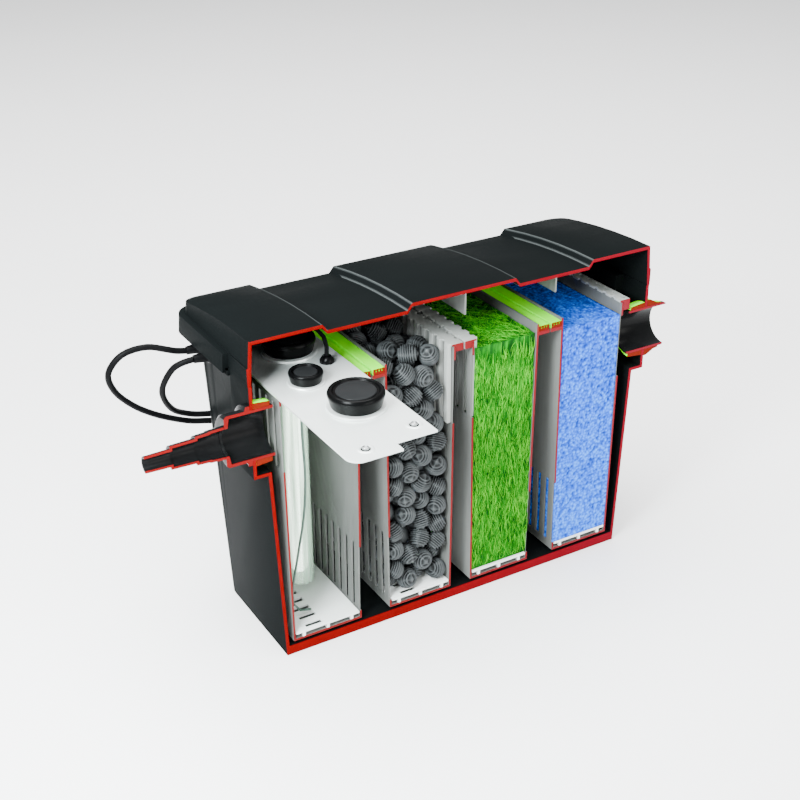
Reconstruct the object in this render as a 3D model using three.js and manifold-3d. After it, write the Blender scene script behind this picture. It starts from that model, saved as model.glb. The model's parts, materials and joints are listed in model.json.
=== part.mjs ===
// Multi-chamber pond filter with a built-in ultraviolet clarifier, made as a half section.
// Millimetres, +Z up, X along the tank from inlet to outlet, Y across it, cut open at its mid-plane.
// Lengths below are measured from the cut (y = 0, +Y to the back); the group is then moved so that
// the origin is the centre of the tank's underside.
import * as THREE from "three";
import { mergeVertices } from "three/addons/utils/BufferGeometryUtils.js";
import Module from "manifold-3d";

const wasm = await Module();
wasm.setup();

// Clearances
const gap = 0.3; // between pieces that touch

// Tank
const tank = {
  halfLength: 279.2, // at the rim
  halfDepth: 200, // at the rim, from the middle to the back
  endDraft: 16.5, // how much shorter each end is at the base
  sideDraft: 10,
  height: 392,
  wall: 4,
  floor: 13,
  cornerRadius: 30,
};
const tankFlange = { reach: 16.8, sideReach: 5, thickness: 6, cornerRadius: 30 };
const portBoss = { proud: 13.8, halfWidth: 52, drop: 122 }; // drop is from the rim to its foot
const portHeight = tank.height - 63;

// Lid
const lid = {
  rise: 55.5, // of the crown above the tank's rim
  arch: 21,
  wall: 4,
  outerStep: 193,
  innerStep: 78.5,
  stepRun: 6.6,
  stepDrop: 8.5,
  cornerRadius: 24,
  lean: 5, // of the cap, from its foot to its roof
  rimReach: 6,
  rimRise: 23,
  rimDrop: 1,
  rimWall: 4,
};
const lidRib = { width: 2.5, start: 46, end: 122, drop: 4 };

// Media boxes
const boxWall = 2.5;
const boxFloor = 3;
const boxBottom = 18;
const boxTop = tank.height - 16;
const boxDepthTop = tank.halfDepth - 18; // from the middle to the back
const boxDepthBottom = boxDepthTop - 4;
const boxDraft = 3.5;
const endGap = 23.5; // between the last box and the tank's end wall
const outerGap = 36; // between an end box and its neighbour
const centreGap = 24.6; // between the two middle boxes
const boxLength = (tank.halfLength - tank.wall - endGap - outerGap - centreGap / 2) / 2;
const chamberExtra = 4; // the lamp chamber is this much longer than the other boxes
const slotPitch = 18;
const slotWidth = 7;
const slotCount = 1 + Math.floor((boxDepthBottom - boxWall - slotWidth / 2 - 4) / slotPitch);
const lowSlot = { from: 30, to: 128 };
const highSlot = { from: boxTop - 108, to: boxTop - 19 };
const innerNear = centreGap / 2;
const innerFar = innerNear + boxLength;
const outerNear = innerFar + outerGap;

// Ultraviolet unit
const chamberRight = -outerNear;
const chamberLeft = chamberRight - boxLength - chamberExtra;
const plate = {
  left: chamberLeft - 10.3,
  right: chamberRight - 0.4,
  front: 5 - tank.halfDepth,
  back: boxDepthTop - 4,
  bottom: boxTop + 1.6,
  thickness: 2.4,
  cornerRadius: 16,
  notchLength: 53,
  notchDepth: 17,
};
const capSpacing = 85; // of each lamp cap from the mid-plane
const lampX = chamberRight - 50;
const bigCap = { radius: 33.5, height: 20, seat: 3 };
const smallCap = { radius: 21, height: 14, seat: 2, x: chamberRight - 70, y: 0 };
const sleeve = { radius: 19, wall: 1.8, bottom: 48 };
const lamp = { radius: 12, bottom: 62 };
const gland = { x: chamberRight - 24, y: 35, radius: 9, height: 9 };

// Ports
const bossFace = tank.halfLength + portBoss.proud;
const outletPipe = { radius: 31.5, wall: 3, from: bossFace - 31, to: bossFace + 32 };
const inletUnion = {
  radius: 33.5,
  wall: 3.5,
  from: bossFace - 29,
  to: bossFace + 33,
  flangeRadius: 39,
  flange: 5,
};
// Hose tail: distance of each step out from the boss, and its radius
const hoseSteps = [
  [33, 21],
  [53, 19.3],
  [69, 15.8],
  [100, 11.5],
  [131, 11.5],
];
const hoseWall = 2.8;

// Supply leads
const lead = { radius: 4, sides: 8 };
const coil = { meanRadius: 48, turnsAcross: 3, layers: 4 };
const coilPlaces = [
  [-91, 284],
  [52, 284],
];
const leadClip = { x: -198, z: 242, length: 14, height: 32, spacing: 13, offset: 7.5 };
const relief = { holeRadius: 6, collar: 10, length: 24 };
const plug = { radius: 18.5, length: 46, offset: 80 };

const filter = new THREE.Group();
filter.name = "pond_filter";

function asSolid(geometry) {
  const bare = geometry.clone();
  bare.deleteAttribute("normal");
  bare.deleteAttribute("uv");
  const merged = mergeVertices(bare, 1e-4);
  const mesh = new wasm.Mesh({
    numProp: 3,
    vertProperties: new Float32Array(merged.attributes.position.array),
    triVerts: new Uint32Array(merged.index.array),
  });
  return new wasm.Manifold(mesh);
}

function asGeometry(solid) {
  const mesh = solid.getMesh();
  const geometry = new THREE.BufferGeometry();
  geometry.setAttribute("position", new THREE.BufferAttribute(mesh.vertProperties, 3));
  geometry.setIndex(new THREE.BufferAttribute(mesh.triVerts, 1));
  const flat = geometry.toNonIndexed();
  flat.computeVertexNormals();
  return flat;
}

function brick(x0, x1, y0, y1, z0, z1) {
  const geometry = new THREE.BoxGeometry(x1 - x0, y1 - y0, z1 - z0);
  geometry.translate((x0 + x1) / 2, (y0 + y1) / 2, (z0 + z1) / 2);
  return asSolid(geometry);
}

// A box whose top rectangle differs from its bottom one.
function draftedBrick(bottom, top, z0, z1) {
  const geometry = new THREE.BoxGeometry(1, 1, 1);
  const place = geometry.attributes.position;
  for (let i = 0; i < place.count; i += 1) {
    const ring = place.getZ(i) > 0 ? top : bottom;
    const x = place.getX(i) > 0 ? ring[1] : ring[0];
    const y = place.getY(i) > 0 ? ring[3] : ring[2];
    place.setXYZ(i, x, y, place.getZ(i) > 0 ? z1 : z0);
  }
  return asSolid(geometry);
}

// A rounded rectangle about the axis, growing evenly from its bottom to its top.
function draftedRound(halfX0, halfY0, halfX1, halfY1, radius, z0, z1, steps = 6) {
  const shape = new THREE.Shape();
  shape.moveTo(-halfX0 + radius, -halfY0);
  shape.lineTo(halfX0 - radius, -halfY0);
  shape.absarc(halfX0 - radius, -halfY0 + radius, radius, -Math.PI / 2, 0);
  shape.lineTo(halfX0, halfY0 - radius);
  shape.absarc(halfX0 - radius, halfY0 - radius, radius, 0, Math.PI / 2);
  shape.lineTo(-halfX0 + radius, halfY0);
  shape.absarc(-halfX0 + radius, halfY0 - radius, radius, Math.PI / 2, Math.PI);
  shape.lineTo(-halfX0, -halfY0 + radius);
  shape.absarc(-halfX0 + radius, -halfY0 + radius, radius, Math.PI, 1.5 * Math.PI);
  const geometry = new THREE.ExtrudeGeometry(shape, {
    depth: z1 - z0,
    bevelEnabled: false,
    curveSegments: steps,
  });
  const place = geometry.attributes.position;
  for (let i = 0; i < place.count; i += 1) {
    const top = place.getZ(i) > (z1 - z0) / 2;
    const growX = top ? halfX1 / halfX0 : 1;
    const growY = top ? halfY1 / halfY0 : 1;
    place.setXYZ(i, place.getX(i) * growX, place.getY(i) * growY, place.getZ(i) + z0);
  }
  return asSolid(geometry);
}

// A turned piece: profile is a closed list of [radius, height along the axis], in either order.
function turned(profile, sides = 32) {
  const points = profile.map(([r, h]) => new THREE.Vector2(r, h));
  if (THREE.ShapeUtils.area(points) < 0) points.reverse();
  points.push(points[0].clone());
  return new THREE.LatheGeometry(points, sides);
}

function turnedUp(profile, x, y, z, sides = 32) {
  const geometry = turned(profile, sides);
  geometry.rotateX(Math.PI / 2);
  geometry.translate(x, y, z);
  return asSolid(geometry);
}

// Turned about the X axis at port height; heights in the profile are X values.
function turnedAlong(profile, sides = 40) {
  const geometry = turned(profile, sides);
  geometry.rotateZ(-Math.PI / 2);
  geometry.translate(0, 0, portHeight);
  return asSolid(geometry);
}

function add(first, ...others) {
  return others.reduce((sum, piece) => sum.add(piece), first);
}

function take(first, ...others) {
  return others.reduce((rest, piece) => rest.subtract(piece), first);
}

const finishes = {
  shell: { color: 0x26292b, roughness: 0.55, metalness: 0 },
  boxGrey: { color: 0x6b6f6d, roughness: 0.5, metalness: 0 },
  white: { color: 0xe6ebe8, roughness: 0.5, metalness: 0 },
  seal: { color: 0x7dff1a, roughness: 0.45, metalness: 0 },
  steel: { color: 0xccd6d2, roughness: 0.3, metalness: 0.9 },
  capBlack: { color: 0x121516, roughness: 0.25, metalness: 0 },
  portBlack: { color: 0x17191a, roughness: 0.3, metalness: 0 },
  glass: { color: 0xeaf6f2, roughness: 0.05, metalness: 0 },
  glow: { color: 0xf4fff2, roughness: 0.4, metalness: 0 },
  balls: { color: 0x14171a, roughness: 0.45, metalness: 0 },
  mat: { color: 0x1f9a1f, roughness: 0.95, metalness: 0 },
  foam: { color: 0x2a6fe0, roughness: 0.95, metalness: 0 },
  leadBlack: { color: 0x0c0c0d, roughness: 0.4, metalness: 0 },
  tube: { color: 0x2f4a3d, roughness: 0.4, metalness: 0 },
};
const materials = Object.fromEntries(
  Object.entries(finishes).map(([name, look]) => [name, new THREE.MeshStandardMaterial(look)]),
);

function place(name, solid, finish) {
  const mesh = new THREE.Mesh(asGeometry(solid), materials[finish]);
  mesh.name = name;
  filter.add(mesh);
}

const behindCut = brick(-700, 700, 0, 600, -100, 900);

function halved(solid) {
  return solid.intersect(behindCut);
}

// Tank sizes at any height
function tankHalfLength(z) {
  return tank.halfLength - tank.endDraft * (1 - z / tank.height);
}

function tankHalfDepth(z) {
  return tank.halfDepth - tank.sideDraft * (1 - z / tank.height);
}

const flangeHalfLength = tank.halfLength + tankFlange.reach;
const flangeHalfDepth = tank.halfDepth + tankFlange.sideReach;
const leadExits = [
  { y: tank.halfDepth - 36, z: tank.height - 17 },
  { y: tank.halfDepth - 58, z: tank.height - 20 },
];

// Media boxes from left to right: ends at the top, and which slots each end wall has
const boxes = [
  {
    name: "uv",
    x0: chamberLeft,
    x1: chamberRight,
    left: "high",
    right: "low",
  },
  { name: "ball", x0: -innerFar, x1: -innerNear, left: "low", right: "high" },
  { name: "mat", x0: innerNear, x1: innerFar, left: "high", right: "low" },
  { name: "foam", x0: outerNear, x1: outerNear + boxLength, left: "low", right: "high" },
];

// ---- Tank ----
{
  const outer = draftedRound(
    tankHalfLength(0),
    tankHalfDepth(0),
    tank.halfLength,
    tank.halfDepth,
    tank.cornerRadius,
    0,
    tank.height,
    8,
  );
  const inner = draftedRound(
    tankHalfLength(tank.floor) - tank.wall,
    tankHalfDepth(tank.floor) - tank.wall,
    tank.halfLength - tank.wall,
    tank.halfDepth - tank.wall,
    tank.cornerRadius - tank.wall,
    tank.floor,
    tank.height + 1,
    8,
  );
  const flange = draftedRound(
    flangeHalfLength,
    flangeHalfDepth,
    flangeHalfLength,
    flangeHalfDepth,
    tankFlange.cornerRadius,
    tank.height - tankFlange.thickness,
    tank.height,
    8,
  );
  let body = outer.add(flange);
  let hollow = inner;
  const bossFoot = tank.height - portBoss.drop;
  [-1, 1].forEach((side) => {
    const far = side * bossFace;
    const beyond = side * (bossFace + 100);
    const near = side * (tank.halfLength - 60);
    const edge = portBoss.halfWidth;
    body = body.subtract(
      brick(Math.min(far, beyond), Math.max(far, beyond), -edge, edge, bossFoot - 60, tank.height + 60),
    );
    body = body.add(
      brick(Math.min(far, near), Math.max(far, near), -edge, edge, bossFoot, tank.height),
    );
    const farIn = side * (bossFace - tank.wall);
    hollow = hollow.add(
      brick(
        Math.min(farIn, near),
        Math.max(farIn, near),
        -edge + tank.wall,
        edge - tank.wall,
        bossFoot + tank.wall,
        tank.height + 1,
      ),
    );
  });
  body = body.subtract(hollow);
  // Low ribs on the floor that the media boxes stand on, set back from the cut
  boxes.forEach(({ x0, x1 }) => {
    [0.25, 0.75].forEach((share) => {
      const x = x0 + share * (x1 - x0);
      const back = boxDepthBottom - 28;
      body = body.add(brick(x - 2, x + 2, 22, back, tank.floor - 1, boxBottom - gap));
    });
  });
  const outletHole = turnedAlong([
    [0, bossFace - 30],
    [outletPipe.radius + gap, bossFace - 30],
    [outletPipe.radius + gap, bossFace + 30],
    [0, bossFace + 30],
  ]);
  const inletHole = turnedAlong([
    [0, -bossFace - 30],
    [inletUnion.radius + gap, -bossFace - 30],
    [inletUnion.radius + gap, -bossFace + 30],
    [0, -bossFace + 30],
  ]);
  const leadHoles = leadExits.map(({ y, z }) => {
    const geometry = new THREE.CylinderGeometry(relief.holeRadius, relief.holeRadius, 40, 16);
    geometry.rotateZ(Math.PI / 2);
    geometry.translate(-tank.halfLength, y, z);
    return asSolid(geometry);
  });
  place("tank", halved(take(body, outletHole, inletHole, ...leadHoles)), "shell");
}

// ---- Lid ----
const capHalfLength = bossFace + 0.7;
const capHalfDepth = tank.halfDepth + 4;
const crown = tank.height + lid.rise;

// The stepped roof as a profile across the length, carried along Y and arched down to the sides.
function roofSolid(halfLength, halfDepth, top, bottom) {
  const half = lid.stepRun / 2;
  const edges = [
    [halfLength, 0],
    [lid.outerStep + half, 0],
    [lid.outerStep - half, lid.stepDrop],
    [lid.innerStep + half, lid.stepDrop],
    [lid.innerStep - half, 0],
  ];
  const shape = new THREE.Shape();
  shape.moveTo(-halfLength, bottom);
  shape.lineTo(halfLength, bottom);
  edges.forEach(([x, drop]) => shape.lineTo(x, top - drop));
  [...edges].reverse().forEach(([x, drop]) => shape.lineTo(-x, top - drop));
  const geometry = new THREE.ExtrudeGeometry(shape, {
    depth: 2 * halfDepth,
    steps: 12,
    bevelEnabled: false,
  });
  geometry.rotateX(Math.PI / 2);
  geometry.translate(0, halfDepth, 0);
  const spot = geometry.attributes.position;
  for (let i = 0; i < spot.count; i += 1) {
    const share = spot.getY(i) / capHalfDepth;
    const low = Math.abs(spot.getZ(i) - bottom) < 1e-3;
    spot.setZ(i, spot.getZ(i) - (low ? 0 : lid.arch * share * share));
  }
  return asSolid(geometry);
}

const lidBottom = tank.height + gap;
const roofReach = 26; // how far the roof's block runs past the cap before it is trimmed
const lidInside = draftedRound(
  capHalfLength - lid.wall,
  capHalfDepth - lid.wall,
  capHalfLength - lid.wall - lid.lean,
  capHalfDepth - lid.wall - lid.lean,
  lid.cornerRadius - lid.wall,
  lidBottom - 1,
  crown + 10,
  8,
).intersect(
  roofSolid(capHalfLength + roofReach, capHalfDepth + roofReach, crown - lid.wall, tank.height - 90),
);
{
  const outside = draftedRound(
    capHalfLength,
    capHalfDepth,
    capHalfLength - lid.lean,
    capHalfDepth - lid.lean,
    lid.cornerRadius,
    lidBottom,
    crown + 10,
    8,
  ).intersect(
    roofSolid(capHalfLength + roofReach, capHalfDepth + roofReach, crown, tank.height - 90),
  );
  const rimBottom = tank.height - lid.rimDrop;
  const rimTop = tank.height + lid.rimRise;
  const rimHalfLength = capHalfLength + lid.rimReach + 2.3;
  const rimHalfDepth = capHalfDepth + lid.rimReach;
  const rim = draftedRound(
    rimHalfLength,
    rimHalfDepth,
    rimHalfLength - 1.5,
    rimHalfDepth - 1.5,
    lid.cornerRadius + 6,
    rimBottom,
    rimTop,
    8,
  );
  const underRim = draftedRound(
    rimHalfLength - lid.rimWall,
    rimHalfDepth - lid.rimWall + 1,
    rimHalfLength - lid.rimWall,
    rimHalfDepth - lid.rimWall + 1,
    lid.cornerRadius + 3,
    rimBottom - 1,
    lidBottom + 4,
    8,
  );
  const ends = [-1, 1].map((side) => {
    const near = side * capHalfLength;
    const far = near + side * 100;
    const edge = portBoss.halfWidth;
    return brick(Math.min(near, far), Math.max(near, far), -edge, edge, rimBottom - 90, rimTop + 10);
  });
  const skirt = take(rim, underRim, ...ends);
  place("lid", halved(add(outside, skirt).subtract(lidInside)), "shell");
}

// Hold-down ribs under the roof, over the green mat and the blue foam
{
  const roofGap = lidInside.translate([0, 0, -gap]);
  [
    ["lid_rib_left", boxes[2].x0 + 18.7],
    ["lid_rib_right", boxes[3].x0 + 23],
  ].forEach(([name, x]) => {
    const half = lidRib.width / 2;
    const foot = tank.height - lidRib.drop;
    const rib = brick(x - half, x + half, lidRib.start, lidRib.end, foot, crown + 10);
    place(name, rib.intersect(roofGap), "boxGrey");
  });
}

// ---- Media boxes ----
const flangeReach = outerGap / 2 - 1;
const flangeBand = { from: boxTop - 15.5, to: boxTop - 10.5 };
const stripHeight = 7;
const stripSlit = 1; // each strip stops this far short of its flange's edge
const bandBack = boxDepthBottom - 4; // flanges, strips and combs all end here

boxes.forEach((b) => {
  const outer = draftedBrick(
    [b.x0 + boxDraft, b.x1 - boxDraft, -boxDepthBottom, boxDepthBottom],
    [b.x0, b.x1, -boxDepthTop, boxDepthTop],
    boxBottom,
    boxTop,
  );
  const inner = draftedBrick(
    [
      b.x0 + boxDraft + boxWall,
      b.x1 - boxDraft - boxWall,
      boxWall - boxDepthBottom,
      boxDepthBottom - boxWall,
    ],
    [b.x0 + boxWall, b.x1 - boxWall, boxWall - boxDepthTop, boxDepthTop - boxWall],
    boxBottom + boxFloor,
    boxTop + 1,
  );
  let body = outer;
  if (b.left === "low") {
    body = body.add(brick(b.x0 - flangeReach, b.x0 + 3, -1, bandBack, flangeBand.from, flangeBand.to));
  }
  if (b.right === "low") {
    body = body.add(brick(b.x1 - 3, b.x1 + flangeReach, -1, bandBack, flangeBand.from, flangeBand.to));
  }
  body = body.subtract(inner);
  [
    [b.left, b.x0 - 2, b.x0 + 8],
    [b.right, b.x1 - 8, b.x1 + 2],
  ].forEach(([kind, from, to]) => {
    const band = kind === "low" ? lowSlot : highSlot;
    for (let i = 0; i < slotCount; i += 1) {
      const y = i * slotPitch;
      body = body.subtract(brick(from, to, y - slotWidth / 2, y + slotWidth / 2, band.from, band.to));
    }
  });
  place(b.name + "_box", halved(body), "boxGrey");

  // White floor grid, standing on its ribs above the box floor
  const inset = boxDraft + boxWall + 1.2;
  const gridTop = boxBottom + boxFloor + 9;
  const plateSolid = brick(b.x0 + inset, b.x1 - inset, -1, boxDepthBottom - 5, gridTop - 3, gridTop);
  const runners = [0.12, 0.5, 0.88].map((share) => {
    const x = b.x0 + inset + share * (b.x1 - b.x0 - 2 * inset);
    return brick(x - 2, x + 2, -1, boxDepthBottom - 5, boxBottom + boxFloor + gap, gridTop - 2);
  });
  let grid = add(plateSolid, ...runners);
  const span = b.x1 - b.x0 - 2 * inset;
  for (let i = 0; i < slotCount - 1; i += 1) {
    const y = (i + 0.5) * slotPitch;
    const x = b.x0 + inset + 0.18 * span;
    grid = grid.subtract(brick(x, x + 0.26 * span, y - 4, y + 4, gridTop - 4, gridTop + 1));
  }
  place(b.name + "_grid", halved(grid), "white");
});

// Green seal strips on the box flanges, one to each box, with ribs on their ends
[
  ["uv_seal", boxes[0].x1 + gap, boxes[0].x1 + flangeReach - stripSlit],
  ["ball_seal", boxes[1].x0 - flangeReach + stripSlit, boxes[1].x0 - gap],
  ["mat_seal", boxes[2].x1 + gap, boxes[2].x1 + flangeReach - stripSlit],
  ["foam_seal", boxes[3].x0 - flangeReach + stripSlit, boxes[3].x0 - gap],
].forEach(([name, x0, x1]) => {
  const foot = flangeBand.to + gap;
  let strip = brick(x0, x1, -1, bandBack, foot, foot + stripHeight);
  [0.25, 0.5, 0.75].forEach((share) => {
    const x = x0 + share * (x1 - x0);
    strip = strip.subtract(brick(x - 0.9, x + 0.9, -2, bandBack + 1, foot + 3.2, foot + stripHeight - 1.2));
  });
  place(name, halved(strip), "seal");
});

// Overflow combs over the two middle walls, and the toothed bar on the last wall
function comb(wallX, side) {
  const lean = (boxDraft * (boxTop - highSlot.from)) / (boxTop - boxBottom);
  const toothNear = wallX - side * (boxWall + lean + gap);
  const toothFar = toothNear - side * 5.5;
  const lipFar = -side * 1.2;
  const lipNear = wallX + side * gap;
  const topZ = boxTop + gap;
  const span = (a, b) => [Math.min(a, b), Math.max(a, b)];
  const bridge = brick(...span(toothNear - side * 2, lipFar), 0.2, bandBack, topZ, topZ + 2.4);
  const lip = brick(...span(lipNear, lipFar), 0.2, bandBack, topZ - 8, topZ + 2.4);
  let body = add(bridge, lip);
  for (let i = 0; i < slotCount - 1; i += 1) {
    const y = (i + 0.5) * slotPitch;
    body = body.add(brick(...span(toothFar, toothNear), y - 4.5, y + 4.5, highSlot.from, topZ + 2.4));
    body = body.subtract(brick(...span(lipFar + side, lipFar - side * 3), y + 6, y + 12, topZ - 1, topZ + 4));
  }
  return body;
}
place("ball_comb", comb(boxes[1].x1, 1), "boxGrey");
place("mat_comb", comb(boxes[2].x0, -1), "boxGrey");
{
  const x0 = boxes[3].x1 + gap;
  const topZ = boxTop + gap;
  let bar = add(
    brick(x0 - 6, x0 + 10, 0.2, bandBack, topZ, topZ + 3),
    brick(x0, x0 + 10, 0.2, bandBack, topZ - 12, topZ + 3),
  );
  for (let i = 0; i < slotCount - 1; i += 1) {
    const y = (i + 0.5) * slotPitch;
    bar = bar.subtract(brick(x0 + 3.5, x0 + 7, y - 4, y + 4, topZ - 13, topZ + 4));
    bar = bar.subtract(brick(x0 - 7, x0 - 3, y + 5, y + 12, topZ - 1, topZ + 4));
  }
  place("weir_bar", bar, "boxGrey");
}

// ---- Filter media ----
const mediaFoot = boxBottom + boxFloor + 9 + gap;
function mediaBlock(b, top, front) {
  const inset = boxWall + 1;
  const toothRoom = b.name === "ball" || b.name === "mat" ? 7 : 0;
  const leftRoom = b.name === "mat" ? toothRoom : 0;
  const rightRoom = b.name === "ball" ? toothRoom : 0;
  const x0 = b.x0 + inset + leftRoom;
  const x1 = b.x1 - inset - rightRoom;
  const back = boxDepthBottom - boxWall - 1;
  return draftedBrick(
    [b.x0 + boxDraft + inset, b.x1 - boxDraft - inset, front, back],
    [b.x0 + inset, b.x1 - inset, front, back],
    mediaFoot,
    top,
  ).intersect(
    add(
      brick(b.x0, b.x1, front - 1, back + 1, mediaFoot - 1, highSlot.from - 1),
      brick(x0, x1, front - 1, back + 1, mediaFoot - 1, top + 1),
    ),
  );
}
place("green_mat", mediaBlock(boxes[2], boxTop - 10, 1), "mat");
place("blue_foam", mediaBlock(boxes[3], boxTop - 17, 1), "foam");
{
  // The balls as one body: a core with the front rows of balls standing out of it
  const ball = 15;
  const b = boxes[1];
  const packTop = boxTop - 24;
  const rowPitch = 25.6;
  let pack = mediaBlock(b, packTop, ball);
  const across = 3;
  const rows = Math.floor((packTop - mediaFoot) / rowPitch);
  const left = b.x0 + boxDraft + boxWall + ball + 1;
  const right = b.x1 - boxDraft - boxWall - ball - 9;
  for (let row = 0; row < rows; row += 1) {
    const shift = row % 2 ? 0.5 : 0;
    for (let column = 0; column < across - (row % 2); column += 1) {
      const geometry = new THREE.IcosahedronGeometry(ball, 1);
      const x = left + ((column + shift) * (right - left)) / (across - 1);
      geometry.translate(x, ball + 1.2, mediaFoot + ball + row * rowPitch);
      pack = pack.add(asSolid(geometry));
    }
  }
  place("bio_ball_pack", pack, "balls");
}

// ---- Ultraviolet unit ----
{
  const middle = (plate.left + plate.right) / 2;
  const halfX = (plate.right - plate.left) / 2;
  const halfY = (plate.back - plate.front) / 2;
  const plateTop = plate.bottom + plate.thickness;
  const sheet = draftedRound(halfX, halfY, halfX, halfY, plate.cornerRadius, plate.bottom, plateTop, 6);
  const base = sheet.translate([middle, (plate.front + plate.back) / 2, 0]);
  const corner = brick(
    plate.right - plate.notchLength,
    plate.right + 1,
    plate.front - 1,
    plate.front + plate.notchDepth,
    plate.bottom - 1,
    plate.bottom + 10,
  );
  const leadCutOut = brick(
    plate.left - 1,
    plate.left + 16,
    leadExits[0].y - 20,
    plate.back + 1,
    plate.bottom - 1,
    plate.bottom + 10,
  );
  const holeProfile = (r) => [
    [0, -5],
    [r, -5],
    [r, 9],
    [0, 9],
  ];
  const holes = [
    turnedUp(holeProfile(sleeve.radius + 1), lampX, capSpacing, plate.bottom, 24),
    turnedUp(holeProfile(sleeve.radius + 1), lampX, -capSpacing, plate.bottom, 24),
    turnedUp(holeProfile(9), smallCap.x, smallCap.y, plate.bottom, 20),
    turnedUp(holeProfile(5), gland.x, gland.y, plate.bottom, 16),
  ];
  const screwSpots = [
    [plate.right - 15.6, plate.front + 41],
    [plate.left + 28, plate.front + 21],
    [plate.right - 15.6, plate.back - 28],
    [plate.left + 28, plate.back - 14],
  ];
  const screwHoles = screwSpots.map(([x, y]) => turnedUp(holeProfile(2.3), x, y, plate.bottom, 12));
  place("uv_plate", take(base, corner, leadCutOut, ...holes, ...screwHoles), "steel");
  screwSpots.forEach(([x, y], index) => {
    const head = [
      [0, -9],
      [1.9, -9],
      [1.9, gap],
      [5, gap],
      [4.4, 2.6],
      [2.4, 3.2],
      [2.4, 1.8],
      [0, 1.8],
    ];
    place("plate_screw_" + (index + 1), turnedUp(head, x, y, plateTop, 12), "steel");
  });

  const bigProfile = (r, h) => [
    [0, gap],
    [r, gap],
    [r, 4],
    [r * 0.86, h - 3],
    [r * 0.8, h],
    [r * 0.68, h],
    [r * 0.64, h - 3.2],
    [0, h - 3.2],
  ];
  const ringProfile = (r, h) => [
    [r - 9, gap],
    [r + 1.6, gap],
    [r + 0.8, h],
    [r - 9, h],
  ];
  [
    ["uv_cap_front", lampX, -capSpacing, bigCap],
    ["uv_cap_rear", lampX, capSpacing, bigCap],
    ["drain_cap", smallCap.x, smallCap.y, smallCap],
  ].forEach(([name, x, y, cap]) => {
    place(name + "_seat", turnedUp(ringProfile(cap.radius, cap.seat), x, y, plateTop, 36), "portBlack");
    place(name, turnedUp(bigProfile(cap.radius, cap.height), x, y, plateTop + cap.seat, 36), "capBlack");
  });

  const glandProfile = [
    [0, gap],
    [gland.radius, gap],
    [gland.radius, 4],
    [gland.radius * 0.62, gland.height],
    [0, gland.height],
  ];
  place("lead_gland", turnedUp(glandProfile, gland.x, gland.y, plateTop, 20), "portBlack");

  const sleeveTop = plateTop - 1;
  const sleeveProfile = [
    [0, sleeve.bottom],
    [sleeve.radius, sleeve.bottom],
    [sleeve.radius, sleeveTop],
    [sleeve.radius - sleeve.wall, sleeveTop],
    [sleeve.radius - sleeve.wall, sleeve.bottom + sleeve.wall],
    [0, sleeve.bottom + sleeve.wall],
  ];
  place("quartz_sleeve", turnedUp(sleeveProfile, lampX, capSpacing, 0, 24), "glass");
  const lampProfile = [
    [0, lamp.bottom],
    [lamp.radius * 0.7, lamp.bottom],
    [lamp.radius, lamp.bottom + 6],
    [lamp.radius, sleeveTop],
    [0, sleeveTop],
  ];
  place("uv_lamp", turnedUp(lampProfile, lampX, capSpacing, 0, 20), "glow");
}

// ---- Tubes along curves ----
function ringShape(radius, sides) {
  const shape = new THREE.Shape();
  for (let i = 0; i < sides; i += 1) {
    const turn = (2 * Math.PI * i) / sides;
    const x = radius * Math.cos(turn);
    const y = radius * Math.sin(turn);
    if (i === 0) shape.moveTo(x, y);
    else shape.lineTo(x, y);
  }
  shape.closePath();
  return shape;
}

function curveOf(points) {
  const spots = points.map(([x, y, z]) => new THREE.Vector3(x, y, z));
  return new THREE.CatmullRomCurve3(spots, false, "centripetal");
}

function tubeAlong(points, radius, sides, step) {
  const path = curveOf(points);
  const geometry = new THREE.ExtrudeGeometry(ringShape(radius, sides), {
    steps: Math.max(4, Math.round(path.getLength() / step)),
    extrudePath: path,
    bevelEnabled: false,
  });
  return asSolid(geometry);
}

// Thin bent tube in the lamp chamber, between the lamp and the chamber's end wall
const tubeRoom = lampX - chamberLeft;
place(
  "bent_tube",
  tubeAlong(
    [
      [lampX - tubeRoom * 0.25, 30, plate.bottom * 0.985],
      [lampX - tubeRoom * 0.25, 30, plate.bottom * 0.8],
      [lampX - tubeRoom * 0.22, 30, plate.bottom * 0.61],
      [lampX - tubeRoom * 0.29, 30, plate.bottom * 0.48],
      [lampX - tubeRoom * 0.5, 30, plate.bottom * 0.32],
      [lampX - tubeRoom * 0.66, 30, 75],
      [lampX - tubeRoom * 0.65, 30, 50],
      [lampX - tubeRoom * 0.47, 30, 38],
      [lampX - tubeRoom * 0.22, 30, 35],
    ],
    1.6,
    8,
    16,
  ),
  "tube",
);

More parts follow.
